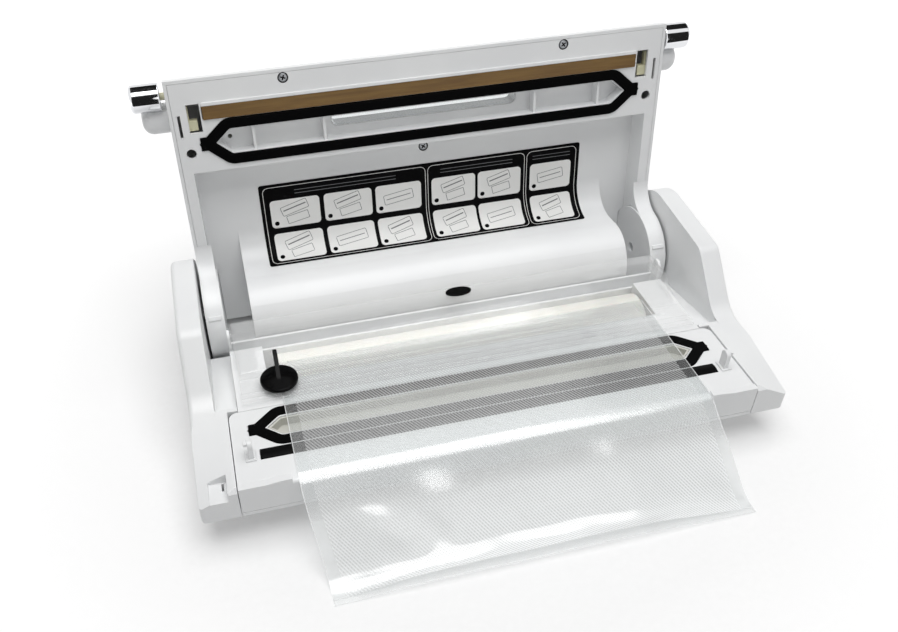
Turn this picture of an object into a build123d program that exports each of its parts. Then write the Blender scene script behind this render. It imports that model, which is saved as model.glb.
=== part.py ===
from build123d import *
import os

# Kitchen vacuum sealer with its lid open, a film roll in the bay and a bag drawn out over the deck.
# Millimetres. While modelling, x runs across, y back from the front wall and z up from the table;
# on export every piece is moved so that the origin lies on the table under the middle of the whole outline.

# Overall sizes of the base
base_width = 406.0
base_depth = 232.0
front_gap = 24.4          # table to the bottom edge of the front wall
front_height = 23.9       # front wall, up to the deck
cheek_width = 17.0
wall = 2.4
fit_gap = 0.3             # between neighbouring pieces of one body
cover_gap = 0.2           # between a drop-in panel and its frame
floor_thick = 2.2
corner_r = 6.0
floor_front = 20.0        # deck's back edge to the bottom cover's front, forwards
floor_back = 8.0
floor_side = 3.0
sill_height = 3.0
cheek_end = 4.0           # back of the base to the cheek's back
beyond = 2 * base_width   # reach of a cutting block, well past everything

# Front deck
deck_depth = 68.5
deck_strip = 8.6          # cheek's low strip beside the deck
seam_gap = 0.5
front_cover_thick = 3.0
lip_height = 1.2
lip_depth = 5.0
guide_height = 2.6
guide_length = 16.0

# Lower and upper gasket, both of one outline
gasket_mid_y = 49.7
gasket_half_run = 13.2
gasket_inset = 16.6       # deck's end to the ring's tip
gasket_taper = 15.0       # length of its pointed end
gasket_shoulder_r = 8.0
gasket_width = 7.5
gasket_seat = 1.2         # depth of its groove
gasket_stand = 1.0        # height above the deck
gasket_block = 9.5

# Vacuum tray in the deck
tray_depth = 9.0
tray_wall = 1.6
tray_edge_gap = 1.2

# Seal rubber and the heater above it
seal_y = 27.3
seal_inset = 17.0
seal_width = 8.6
seal_seat = 1.4
heater_width = 9.6
heater_overhang = 0.6     # past the seal rubber's ends
heater_rail_height = 8.0
tape_thick = 0.5
heater_lip = 2.2          # white lip along its upper edge
wire_thick = 0.4

# Catches on the deck and latches in the lid
catch_inset = 12.8
catch_thick = 3.2
catch_y = 23.6
catch_width = 7.0
catch_height = 14.5
catch_head = 2.4
catch_head_height = 3.2
latch_gap = 0.4
release_travel = 3.0
latch_reach = 6.0
latch_wall = 3.0
latch_back = 16.5         # catch's front to the latch's back

# Hinge of the lid
hinge_y = 184.0
hinge_z = 43.5
hinge_pin_r = 4.0
pin_clearance = 0.05
arm_r = 34.6
arm_width = 13.6
arm_rib = 1.4
neck_r = 24.0             # concave curve from the lid's rim into the arm
neck_inset = 0.8
lid_open_angle = 97.0

# Lid
lid_side_gap = 2.0
lid_face_gap = 3.2        # deck to the lid's inner face when it is shut
lid_front_y = 3.0
block_end_y = 70.5        # back edge of the sealing block
recess_side = 10.0        # lid's end to the recess
recess_height = 19.3      # sealing face to the recess ceiling
recess_round = 25.0
bulge_side = 34.0         # lid's end to the bulge
bulge_front_y = 154.0
bulge_over_arm = 0.4      # bulge's radius beyond the arms'
lid_nose_height = 7.5
lid_nose_rise = 29.5
lid_nose_depth = 22.0
lid_back_z = 94.0
chamber_depth = 10.0
window_half_length = 71.0
window_width = 10.0
window_y = 47.0
label_thick = 0.3
label_side = 20.0         # bulge's end to the label
label_top_y = 95.0

# Release knobs
knob_y = 16.6
knob_lift = 13.4          # knob axis above the lid's inner face
knob_r = 9.8
knob_length = 20.8
knob_stem_r = 2.6
lug_y = 34.0
lug_lift = 20.0
lug_r = 10.5
lug_length = 19.0

# Film roll, bay and clear cover
roll_y = 112.0
roll_r = 19.5
film_side = 35.9          # deck's end to the film's edge
roll_x = 2.0
core_r = 14.0
core_wall = 1.5
bay_side = 17.4           # cheek to the inside of the bay
bay_wall = 2.0
film_thick = 0.4
film_gap = 0.3
cover_side_gap = 1.6
cover_thick = 1.8
cover_front_y = 71.5
cover_track_back_y = 102.0
cover_slope_back_y = 122.0
cover_back_y = 146.0
cover_rise = 10.4
cover_pin_y = 139.0
cover_pin_r = 2.5
ear_r = 4.5
ridge_height = 0.9
ridge_width = 1.6

# Cutter
cutter_start = 12.5       # slot's end to the cutter's middle
cutter_y = 87.5
cutter_disc_r = 13.2
cutter_disc_height = 2.6
cutter_slot_width = 2.4
cutter_slot_end = 15.0    # cover's end to the slot
cutter_fin_height = 13.5
cutter_fin_lean = 13.5
cutter_fin_thick = 3.0

# Feet
foot_r = 7.5
foot_height = 2.5
foot_inset = 15.0
foot_front_y = 60.0
foot_back_y = 212.0

# Works inside the lid
button_length = 30.0
button_width = 13.0
button_y = 104.0
button_x = 34.0
button_stand = 1.6
button_round = 4.8
button_flange = 1.5
motor_r = 13.5
motor_length = 42.0
pump_length = 40.0
pump_size = 30.0
works_end = 22.6          # transformer to the end of the works' room
works_y = 184.0
works_z = 34.0
transformer_length = 54.0
transformer_size = 36.0
rib_thick = 2.0
board_thick = 1.6
hose_r = 3.2

# Cheeks and ledges
ramp_foot_y = 78.0
ramp_top_y = 113.0
ramp_top_z = 87.5
cheek_crest_y = 190.0
cheek_top = 95.0
cheek_shoulder_z = 65.0
cheek_round = 3.5
front_slope = 13.0
slope_run_out = 12.0      # foot of the ramp to the end of the front slope, forwards
undercut_y = 30.0
ledge_front_z = 43.5
ledge_back_z = 30.5
base_screw_y = (92.0, 196.0)
base_screw_r = 1.5
base_screw_length = 14.0  # in the cheek
base_screw_sink = 1.3
base_screw_head = 1.4     # head's overhang
screw_clear = 0.1
boss_height = 22.0
boss_wall = 2.6
port_inset = 3.8
port_half = 6.0
port_depth = 16.5
port_drop = 7.5
gland_r = 4.2
gland_bore_r = 2.6
gland_lift = 16.0
gland_flange = 1.2
gland_flange_thick = 2.0

# Bay, bag and small pieces
bay_top_z = 44.0
well_lip_y = 3.0
well_gap = 1.6
bay_shelf = 6.0           # depth of the film shelf's front wall
roll_end_gap = 3.5
bag_mid_z = 30.0
bag_end_y = -62.0
bag_swing = 8.0
pad_x = 5.0
ridge_y = (74.0, 79.0, 93.0)
chamber_rib_share = (-0.795, -0.479, 0.516, 0.833)
lid_hole_side = 10.9
lid_hole_y = 55.7
suction_inset = 16.3
nipple_bore_r = 1.6
nipple_height = 6.0
lid_screw_r = 1.5
lid_screw_side = 81.0
lid_screw_front_y = 9.4
lid_screw_back_y = 80.8
lid_screw_length = 6.0    # past the panel
lid_screw_head_r = 3.2
lid_screw_head = 1.2
lens_r = 3.0
switch_half = 3.0
board_half = 62.0
board_front_y = 86.0
board_back_y = 128.0
button_travel = 1.0

# Worked out from the sizes above
half = base_width / 2
cheek_in = half - cheek_width
deck_z = front_gap + front_height
bulge_r = arm_r + bulge_over_arm
lid_half = cheek_in - lid_side_gap
deck_half = cheek_in - deck_strip
gasket_half_length = deck_half - gasket_inset
seal_half_length = deck_half - seal_inset
heater_half_length = seal_half_length + heater_overhang
catch_x = deck_half - catch_inset
recess_half = lid_half - recess_side
bulge_half = lid_half - bulge_side
label_half = bulge_half - label_side
roll_half_length = deck_half - film_side
bay_half = cheek_in - bay_side
cover_half = bay_half - cover_side_gap
cutter_slot_half = cover_half - cutter_slot_end
cutter_x = cutter_start - cutter_slot_half
foot_x = half - foot_inset
base_screw_x = half - cheek_width / 2
port_x = -cheek_in - port_inset
chamber_rib_x = [share * gasket_half_length for share in chamber_rib_share]
lid_hole_x = lid_half - lid_hole_side
suction_x = suction_inset - gasket_half_length
face_z = deck_z + lid_face_gap
ceiling_z = face_z + recess_height
gasket_top = deck_z + gasket_stand
film_low = gasket_top + film_gap
film_high = film_low + film_thick
roll_z = film_low - film_gap - roll_r
track_z = film_high + 0.4
strip_z = track_z + cover_rise
cover_pin_z = strip_z - cover_pin_r - 1.0
arm_in = lid_half - arm_width
knob_z = face_z + knob_lift
knob_in = lid_half + release_travel + fit_gap
lug_z = face_z + lug_lift
floor_top = foot_height + floor_thick
port_floor = deck_z - port_drop
works_reach = bulge_half - wall - 1.0

lid_screw_x = lid_half - lid_screw_side
lid_screw_at = (
    (-lid_screw_x, lid_screw_front_y, face_z), (lid_screw_x, lid_screw_front_y, face_z),
    (0.0, lid_screw_back_y, ceiling_z),
)


def slab(x0, x1, y0, y1, z0, z1):
    return Pos((x0 + x1) / 2, (y0 + y1) / 2, (z0 + z1) / 2) * Box(x1 - x0, y1 - y0, z1 - z0)


def rod_x(y, z, r, x0, x1):
    return Pos((x0 + x1) / 2, y, z) * Rot(0, 90, 0) * Cylinder(r, x1 - x0)


def rod_z(x, y, r, z0, z1):
    return Pos(x, y, (z0 + z1) / 2) * Cylinder(r, z1 - z0)


def across(section, x0, x1):
    """Extrude a section, drawn with y and z, from x0 to x1."""
    return extrude(Plane.YZ.offset(x0) * section, x1 - x0)


def outline(*edges):
    return make_face(Wire(list(edges)))


def both_sides(shape):
    return [shape, mirror(shape, about=Plane.YZ)]


def long_ring(grow, z0, z1):
    """Long outline with pointed ends and rounded shoulders, grown by a margin, between two heights."""
    run = gasket_half_run + grow
    slant = (gasket_half_run ** 2 + gasket_taper ** 2) ** 0.5 / gasket_half_run
    tip = gasket_half_length + grow * slant
    shoulder = tip - run * gasket_taper / gasket_half_run
    plate = Polygon((tip, 0), (shoulder, run), (-shoulder, run), (-tip, 0), (-shoulder, -run),
                    (shoulder, -run), align=None)
    corners = [corner for corner in plate.vertices() if abs(corner.Y) > run / 2]
    return Pos(0, gasket_mid_y, z0) * extrude(fillet(corners, gasket_shoulder_r + grow), z1 - z0)


def gasket(z0, z1, grow=0.0):
    """Gasket ring with its square end blocks."""
    ring = long_ring(gasket_width / 2 + grow, z0, z1) - long_ring(-gasket_width / 2 - grow, z0 - 1, z1 + 1)
    side = gasket_block / 2 + grow
    for x in (-gasket_half_length, gasket_half_length):
        ring += slab(x - side, x + side, gasket_mid_y - side, gasket_mid_y + side, z0, z1)
    return ring - long_ring(-gasket_width / 2 - grow, z0 - 1, z1 + 1)


def opened(shape):
    """Swing a piece of the lid from shut to open about the hinge."""
    return Pos(0, hinge_y, hinge_z) * Rot(-lid_open_angle, 0, 0) * Pos(0, -hinge_y, -hinge_z) * shape


pieces = {}


def save(name, shape):
    pieces[name] = []
    for piece in (shape if isinstance(shape, list) else [shape]):
        pieces[name] += piece.solids()


# Bottom cover with its front wall and back sill
cover_front = deck_depth - floor_front
cover_back = base_depth - floor_back
bottom = slab(-half + floor_side, half - floor_side, cover_front, cover_back, foot_height, floor_top)
bottom = fillet(bottom.edges().filter_by(Axis.Z), corner_r)
inner_half = cheek_in - fit_gap
bottom += slab(-inner_half, inner_half, cover_front, cover_front + wall, floor_top, front_gap - cover_gap)
bottom += slab(-inner_half, inner_half, cover_back - wall, cover_back, floor_top, floor_top + sill_height)
for x in (-base_screw_x, base_screw_x):
    for y in base_screw_y:
        bottom -= rod_z(x, y, base_screw_r + screw_clear, 0, floor_top + 1)
        bottom -= rod_z(x, y, base_screw_r + base_screw_head + screw_clear, 0,
                        foot_height + base_screw_sink)
save("bottom_cover", bottom)

# Rubber feet
feet = []
for x in (-foot_x, foot_x):
    for y in (foot_front_y, foot_back_y):
        foot = rod_z(x, y, foot_r, 0, foot_height)
        feet.append(fillet(foot.edges().group_by(Axis.Z)[0], 0.8))
save("rubber_feet", feet)


# Side cheeks: low at the front, ramped up beside the lid, open below
cheek_low = deck_z + lip_height
cheek_bottom = floor_top + cover_gap
cheek_back = base_depth - cheek_end
ledge_back_y = hinge_y - arm_r - lid_side_gap
ledge_front_y = deck_depth + seam_gap
ledge_in = bay_half + bay_wall + fit_gap


def cheek_side(front_y):
    """Side view of a cheek from a front edge to the back."""
    top = FilletPolyline(
        (front_y, front_gap), (front_y, cheek_low), (ramp_foot_y, cheek_low), (ramp_top_y, ramp_top_z),
        (cheek_crest_y, cheek_top), (cheek_back, cheek_shoulder_z), (cheek_back, cheek_bottom),
        radius=[3.0, 26.0, 14.0, 30.0, 20.0],
    )
    under = Polyline(
        (cheek_back, cheek_bottom), (undercut_y + 18.0, cheek_bottom), (undercut_y, front_gap),
        (front_y, front_gap),
    )
    return outline(*top.edges(), *under.edges())


def slant(y, drop):
    """Section, across the cheek, of what is cut away to slope its front outwards."""
    plane = Plane((0, y, 0), x_dir=(1, 0, 0), z_dir=(0, -1, 0))
    x0 = deck_half + seam_gap + 1.5
    return plane * outline(*Polyline(
        (x0, cheek_low + 0.05), (half + 1, cheek_low - drop), (half + 1, cheek_low + 9),
        (x0, cheek_low + 9),
        (x0, cheek_low + 0.05),
    ).edges())


def cheek(with_port):
    body = across(cheek_side(0), cheek_in, half)
    rim = body.edges().filter_by(lambda e: e.center().X > half - 0.01 and e.center().Z > cheek_low + 2)
    body = fillet(rim, cheek_round)
    inside = offset(cheek_side(undercut_y + 14.0), -wall)
    front_cut = loft([slant(-1, front_slope), slant(ramp_foot_y - slope_run_out, -0.05)])
    cavity = across(inside, cheek_in + wall, half - wall)
    if with_port:
        cavity -= slab(-port_x - port_half - wall, -port_x + port_half + wall, -1, port_depth + wall,
                       port_floor - wall, beyond)
    body -= cavity - Pos(0, 0, -1.5 * wall) * front_cut
    body -= slab(cheek_in + wall, half - wall, undercut_y + 24.0, cheek_back - wall, 0,
                 cheek_bottom + 2 * wall)
    # The low inner strip beside the deck, running back as a sloped ledge to the hinge
    strip = Polyline(
        (0, front_gap), (0, cheek_low - 3), (3, cheek_low), (ledge_front_y + 3, cheek_low),
        (ledge_front_y + 5, ledge_front_z), (ledge_back_y, ledge_back_z),
        (ledge_back_y, ledge_back_z - wall),
        (ledge_front_y + 5, ledge_front_z - 3 * wall), (ledge_front_y, front_gap), (0, front_gap),
    )
    body += across(outline(*strip.edges()), deck_half + seam_gap, cheek_in)
    ledge = Polyline(
        (ledge_front_y, cheek_low), (ledge_front_y + 3, cheek_low), (ledge_front_y + 5, ledge_front_z),
        (ledge_back_y, ledge_back_z), (ledge_back_y, ledge_back_z - wall),
        (ledge_front_y + 5, ledge_front_z - 3 * wall), (ledge_front_y, front_gap),
        (ledge_front_y, cheek_low),
    )
    body += across(outline(*ledge.edges()), ledge_in, deck_half + seam_gap)
    body -= front_cut
    # Hinge boss, screw bosses and their bores
    body += rod_x(hinge_y, hinge_z, hinge_pin_r + 4, cheek_in + wall, half - wall)
    body -= rod_x(hinge_y, hinge_z, hinge_pin_r + pin_clearance, cheek_in - 1, half - wall)
    for y in base_screw_y:
        body += rod_z(base_screw_x, y, base_screw_r + boss_wall, cheek_bottom, cheek_bottom + boss_height)
        body += slab(cheek_in + wall / 2, half - wall / 2, y - rib_thick / 2, y + rib_thick / 2,
                     cheek_bottom,
                     cheek_bottom + boss_height)
        body -= rod_z(base_screw_x, y, base_screw_r + screw_clear, cheek_bottom - 1,
                      cheek_bottom + boss_height - wall)
    return body


right_cheek = cheek(False)
left_cheek = mirror(cheek(True), about=Plane.YZ)
# Accessory port: a notch with a narrow slot in the left cheek's front
left_cheek -= slab(port_x - port_half, port_x + port_half, -1, port_depth, port_floor, cheek_low + 5)
left_cheek -= slab(port_x + 2.4, port_x + 3.8, port_depth - 7, port_depth - 1, port_floor - 8, port_floor + 1)
# Hole for the cord gland in the left cheek's back
gland_z = floor_top + gland_lift
left_cheek -= Pos(-base_screw_x, cheek_back, gland_z) * Rot(90, 0, 0) * Cylinder(gland_r, 4 * wall)
save("left_cheek", left_cheek)
save("right_cheek", right_cheek)

gland_bush = Cylinder(gland_r - pin_clearance, wall + 1.6)
gland = Pos(-base_screw_x, cheek_back - 0.8, gland_z) * Rot(90, 0, 0) * gland_bush
gland_rim = Cylinder(gland_r + gland_flange, gland_flange_thick)
gland += Pos(-base_screw_x, cheek_back + 1.1, gland_z) * Rot(90, 0, 0) * gland_rim
gland -= Pos(-base_screw_x, cheek_back, gland_z) * Rot(90, 0, 0) * Cylinder(gland_bore_r, 12 * wall)
save("cord_gland", gland)

pin = rod_x(hinge_y, hinge_z, hinge_pin_r, arm_in + 2.0, half - wall - fit_gap)
save("hinge_pins", both_sides(pin))

screws = []
for x in (-base_screw_x, base_screw_x):
    for y in base_screw_y:
        neck = foot_height + base_screw_sink
        screw = rod_z(x, y, base_screw_r + base_screw_head, foot_height + cover_gap, neck)
        screws.append(screw + rod_z(x, y, base_screw_r, neck, cheek_bottom + base_screw_length))
save("base_screws", screws)

# Front deck: a shallow shell with the gasket groove, tray tub and seal channel moulded in
deck_low = front_gap + front_cover_thick + fit_gap
tray_margin = -gasket_width / 2 - tray_edge_gap
deck = slab(-deck_half, deck_half, 0, deck_depth, deck_low, deck_z)
deck = fillet(deck.edges().filter_by(Axis.Z).sort_by(Axis.Y)[-2:], corner_r)
deck -= slab(-deck_half + wall, deck_half - wall, wall, deck_depth - wall, deck_low - 1, deck_z - wall)
tub_low = deck_z - tray_depth
deck += long_ring(tray_margin + wall, tub_low - wall, deck_z - 0.1)
deck -= long_ring(tray_margin, tub_low, deck_z + 1)
deck += slab(-seal_half_length - wall, seal_half_length + wall, seal_y - seal_width / 2 - wall,
             seal_y + seal_width / 2 + wall, deck_z - seal_seat - wall, deck_z - 0.1)
deck -= gasket(deck_z - gasket_seat, deck_z + 1, cover_gap)
deck -= slab(-seal_half_length - cover_gap, seal_half_length + cover_gap,
             seal_y - seal_width / 2 - cover_gap,
             seal_y + seal_width / 2 + cover_gap, deck_z - seal_seat, deck_z + 1)
# Front edge: rounded where the bag passes, with a raised guide and lip on each side of it
bag_channel = roll_half_length + 2.0
edge = slab(-bag_channel, bag_channel, -1, lip_depth / 2, deck_z - lip_depth / 2, deck_z + 1)
deck -= edge - rod_x(lip_depth / 2, deck_z - lip_depth / 2, lip_depth / 2, -bag_channel - 1,
                     bag_channel + 1)
front_plane = Plane((0, 0, 0), x_dir=(1, 0, 0), z_dir=(0, -1, 0))
guide = front_plane * outline(*Polyline(
    (bag_channel, deck_z - 0.1), (bag_channel, deck_z + guide_height),
    (bag_channel + 5, deck_z + guide_height),
    (bag_channel + guide_length, deck_z + lip_height), (deck_half, deck_z + lip_height),
    (deck_half, deck_z - 0.1),
    (bag_channel, deck_z - 0.1),
).edges())
guide = extrude(guide, -lip_depth)
for lip in both_sides(guide):
    deck += lip
save("front_deck", deck)

front_cover = slab(-deck_half, deck_half, 0, deck_depth, front_gap, front_gap + front_cover_thick)
front_cover = fillet(front_cover.edges().filter_by(Axis.Z).sort_by(Axis.Y)[-2:], corner_r)
save("front_bottom_cover", front_cover)

drip_tray = long_ring(tray_margin - fit_gap, tub_low, deck_z - 0.5)
drip_tray -= long_ring(tray_margin - fit_gap - tray_wall, tub_low + tray_wall, deck_z + 1)
save("drip_tray", drip_tray)

save("lower_gasket", gasket(deck_z - gasket_seat, gasket_top))

seal_low = deck_z - seal_seat
seal = outline(*Polyline(
    (seal_y - seal_width / 2, seal_low), (seal_y + seal_width / 2, seal_low),
    (seal_y + seal_width / 2, deck_z + 0.4),
    (seal_y + 1.4, gasket_top), (seal_y - 1.4, gasket_top), (seal_y - seal_width / 2, deck_z + 0.4),
    (seal_y - seal_width / 2, seal_low),
).edges())
save("seal_rubber", across(seal, -seal_half_length, seal_half_length))

# Catches: half-round posts with an outward hook
catch_top = deck_z + catch_height
post = slab(catch_x, catch_x + catch_thick, catch_y, catch_y + catch_width, deck_z, catch_top)
post = fillet(post.edges().filter_by(Axis.X).group_by(Axis.Z)[-1], catch_width / 2 - 0.2)
head = slab(catch_x + catch_thick - 0.1, catch_x + catch_thick + catch_head, catch_y + 1.6,
            catch_y + catch_width - 1.6, catch_top - catch_head_height, catch_top - 0.8)
foot_plate = slab(catch_x - 1.6, catch_x + catch_thick + 2.4, catch_y - 1.4, catch_y + catch_width + 1.4,
                  deck_z, deck_z + 1.0)
right_catch = post + head + foot_plate
save("left_catch", mirror(right_catch, about=Plane.YZ))
save("right_catch", right_catch)


# Roll bay and the well behind it that the lid's bulge drops into
well_r = bulge_r + well_gap


def bay_space(grow, end):
    """Trough round the roll, grown by a margin, out to an end on each side."""
    trough = across(outline(*Polyline(
        (roll_y - roll_r - film_gap - grow, roll_z), (roll_y + roll_r + film_gap + grow, roll_z),
        (roll_y + roll_r + film_gap + grow, deck_z + roll_r),
        (roll_y - roll_r - film_gap - grow, deck_z + roll_r),
        (roll_y - roll_r - film_gap - grow, roll_z),
    ).edges()), -end, end)
    return trough + rod_x(roll_y, roll_z, roll_r + film_gap + grow, -end, end)


well_half = cheek_in - fit_gap
bay_end = bay_half + bay_wall
trough_front = roll_y - roll_r - film_gap
trough_half = roll_half_length + abs(roll_x) + roll_end_gap
bay = bay_space(bay_wall, bay_end) + slab(-bay_end, bay_end, deck_depth + fit_gap, roll_y,
                                          deck_z - bay_shelf, deck_z)
bay += slab(-bay_end, bay_end, roll_y, hinge_y - well_r + 6, roll_z, roll_z + bay_wall)
bay -= slab(-half, half, 0, base_depth, deck_z, beyond)
bay -= slab(-half, half, roll_y + roll_r + film_gap, base_depth, bay_top_z, beyond)
bay += rod_x(hinge_y, hinge_z, well_r + bay_wall, -well_half, well_half)
bay -= slab(-half, half, hinge_y + well_lip_y, beyond, -beyond, beyond)
bay -= slab(-half, half, hinge_y - well_r - bay_wall, base_depth, bay_top_z, beyond)
for x in (-half, bay_end):
    bay -= slab(x, x + half - bay_end, 0, hinge_y, ledge_back_z - wall - fit_gap, beyond)
bay -= bay_space(0, trough_half)
bay -= slab(-bay_half, bay_half, deck_depth + fit_gap + bay_wall, trough_front - bay_wall, -beyond,
            deck_z - bay_wall)
for s in (-1, 1):
    pocket = sorted((s * (trough_half + bay_wall), s * bay_half))
    bay -= slab(*pocket, trough_front, roll_y + roll_r + film_gap, -beyond, deck_z - bay_wall)
bay -= rod_x(hinge_y, hinge_z, well_r, -half, half)
# Ears that hold the clear cover's pins
for x in (-bay_half - bay_wall, bay_half):
    ear = slab(x, x + bay_wall, cover_pin_y - ear_r, cover_pin_y + ear_r, roll_z, cover_pin_z)
    ear += rod_x(cover_pin_y, cover_pin_z, ear_r, x, x + bay_wall)
    bay += ear - rod_x(cover_pin_y, cover_pin_z, cover_pin_r + pin_clearance, x - 1, x + bay_wall + 1)
save("roll_bay", bay)

# Film roll on its cardboard core
core = rod_x(roll_y, roll_z, core_r, roll_x - roll_half_length, roll_x + roll_half_length)
core -= rod_x(roll_y, roll_z, core_r - core_wall, -half, half)
save("roll_core", core)
roll = rod_x(roll_y, roll_z, roll_r, roll_x - roll_half_length, roll_x + roll_half_length)
roll -= rod_x(roll_y, roll_z, core_r + 0.05, -half, half)
save("film_roll", roll)

# Bag drawn off the roll, over the deck and down to the table
bag_path = FilletPolyline(
    (roll_y - 3, film_low), (2.0, film_low), (-24.0, bag_mid_z), (bag_end_y + 14, film_gap + 0.2),
    (bag_end_y, film_gap),
    radius=[18.0, 40.0, 22.0],
)
bag_upper = FilletPolyline(
    (roll_y - 3, film_high), (2.0, film_high), (-24.0, bag_mid_z + film_thick * 1.2),
    (bag_end_y + 14, film_gap + 0.2 + film_thick), (bag_end_y, film_gap + film_thick),
    radius=[18.0, 40.0, 22.0],
)
bag = outline(
    *bag_path.edges(), Line(bag_path @ 1, bag_upper @ 1), *bag_upper.edges(),
    Line(bag_path @ 0, bag_upper @ 0),
)
plan = outline(*Polyline(
    (roll_x - roll_half_length, roll_y), (roll_x + roll_half_length, roll_y),
    (roll_x + roll_half_length, 0),
    (roll_x + roll_half_length + bag_swing, bag_end_y - 5),
    (roll_x - roll_half_length + bag_swing, bag_end_y - 5),
    (roll_x - roll_half_length, 0), (roll_x - roll_half_length, roll_y),
).edges())
save("bag_film", across(bag, -half, half) & extrude(plan, 2 * deck_z))

# Clear cover over the roll, with cutter track, ridges and hinge stubs
cover_points = [
    (cover_front_y, track_z), (cover_track_back_y, track_z), (cover_slope_back_y, strip_z),
    (cover_back_y, strip_z),
]
lower = Polyline(*cover_points)
upper = Polyline(*[(y, z + cover_thick) for y, z in cover_points])
section = outline(*lower.edges(), Line(lower @ 1, upper @ 1), *upper.edges(), Line(lower @ 0, upper @ 0))
cover = across(section, -cover_half, cover_half)
end_low = track_z + 0.4
end_plate = outline(*Polyline(
    (cover_track_back_y - 4, end_low), (cover_back_y, end_low), (cover_back_y, strip_z + 0.1),
    (cover_slope_back_y, strip_z + 0.1), (cover_track_back_y, track_z + 0.1 + 0.4),
    (cover_track_back_y - 4, end_low),
).edges())
for x in (-cover_half, cover_half - cover_thick):
    cover += across(end_plate, x, x + cover_thick)
for y in ridge_y:
    cover += slab(-cover_half, cover_half, y, y + ridge_width, track_z + cover_thick - 0.1,
                  track_z + cover_thick + ridge_height)
for stub in both_sides(rod_x(cover_pin_y, cover_pin_z, cover_pin_r, cover_half - cover_thick,
                             bay_half + bay_wall - fit_gap)):
    cover += stub
cover -= slab(-cutter_slot_half, cutter_slot_half, cutter_y - cutter_slot_width / 2,
              cutter_y + cutter_slot_width / 2, track_z - 1, track_z + cover_thick + 5)
save("roll_cover", cover)

pad_z = strip_z + cover_thick
pad = extrude(Pos(pad_x, cover_back_y - 7, pad_z) * Ellipse(10.0, 5.0), 1.6)
save("cover_pad", pad)

# Bag cutter: a disc with a leaning finger fin, and a blade through the cover's slot
disc_low = track_z + cover_thick + ridge_height + fit_gap
disc_high = disc_low + cutter_disc_height
disc = rod_z(cutter_x, cutter_y, cutter_disc_r, disc_low, disc_high)
disc = fillet(disc.edges().group_by(Axis.Z)[-1], 1.0)
fin = outline(
    Line((cutter_y - 7, disc_high - 0.2), (cutter_y + 7, disc_high - 0.2)),
    Line((cutter_y + 7, disc_high - 0.2),
         (cutter_y + cutter_fin_lean + 2.5, disc_high + cutter_fin_height - 2)),
    ThreePointArc((cutter_y + cutter_fin_lean + 2.5, disc_high + cutter_fin_height - 2),
                  (cutter_y + cutter_fin_lean, disc_high + cutter_fin_height),
                  (cutter_y + cutter_fin_lean - 2.5, disc_high + cutter_fin_height - 1)),
    Line((cutter_y + cutter_fin_lean - 2.5, disc_high + cutter_fin_height - 1),
         (cutter_y - 7, disc_high - 0.2)),
)
knob = disc + across(fin, cutter_x - cutter_fin_thick / 2, cutter_x + cutter_fin_thick / 2)
blade_half = cutter_slot_width / 2 - fit_gap
knob -= slab(cutter_x - 6.1, cutter_x + 6.1, cutter_y - blade_half - 0.05, cutter_y + blade_half + 0.05,
             disc_low - 1, disc_low + 1.5)
save("cutter_knob", knob)
blade = Plane((0, cutter_y - blade_half, 0), x_dir=(1, 0, 0), z_dir=(0, -1, 0)) * outline(*Polyline(
    (cutter_x - 6, disc_low + 1.5), (cutter_x + 6, disc_low + 1.5), (cutter_x + 6, track_z + 0.6),
    (cutter_x, film_high + 0.15), (cutter_x - 6, track_z + 0.6), (cutter_x - 6, disc_low + 1.5),
).edges())
save("cutter_blade", extrude(blade, -2 * blade_half))


# Lid inner panel: sealing block, deep recess and the bulge that houses the works
def void(grow, bulge, back_y):
    """Space below the lid's inner panel, grown into the lid by a margin."""
    low = face_z + grow
    step_y = block_end_y - grow
    top = ceiling_z + grow
    far = 3 * wall + deck_z
    if not bulge:
        return outline(*Polyline(
            (-far, -far), (-far, low), (step_y, low), (step_y, top), (back_y, top), (back_y, -far),
            (-far, -far),
        ).edges())
    turn_y = bulge_front_y - recess_round
    turn_z = ceiling_z - recess_round
    bend = Vector(turn_y, turn_z) + Vector(recess_round + grow, 0).rotate(Axis.Z, 45)
    wall_y = bulge_front_y + grow
    wall_end = (wall_y + 0.4, turn_z - 7.0)
    middle = Vector(hinge_y, hinge_z)
    reach = Vector(bulge_r - grow, 0)
    corner = middle + Vector(bulge_r - grow - 1.2, 0).rotate(Axis.Z, 219)
    start = middle + reach.rotate(Axis.Z, 237)
    deep = middle + reach.rotate(Axis.Z, 300)
    end = middle + reach
    return outline(
        *Polyline((far * 5, -far), (-far, -far), (-far, low), (step_y, low), (step_y, top),
                  (turn_y, top)).edges(),
        ThreePointArc((turn_y, top), bend, (wall_y, turn_z)),
        Line((wall_y, turn_z), wall_end),
        ThreePointArc(wall_end, corner, start),
        ThreePointArc(start, deep, end),
        *Polyline(end, (far * 5, hinge_z), (far * 5, -far)).edges(),
    )


def shell_side():
    """Side view of the lid's outer shell."""
    back = hinge_y + bulge_r + fit_gap
    top = FilletPolyline(
        (lid_front_y, face_z), (lid_front_y, face_z + lid_nose_height),
        (lid_front_y + lid_nose_depth, face_z + lid_nose_rise),
        (hinge_y - 4, lid_back_z), (back, lid_back_z - 16), (back, hinge_z),
        radius=[8.0, 14.0, 22.0, 28.0],
    )
    under = Polyline((back, hinge_z), (hinge_y - arm_r, face_z), (lid_front_y, face_z))
    return outline(*top.edges(), *under.edges())


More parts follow.
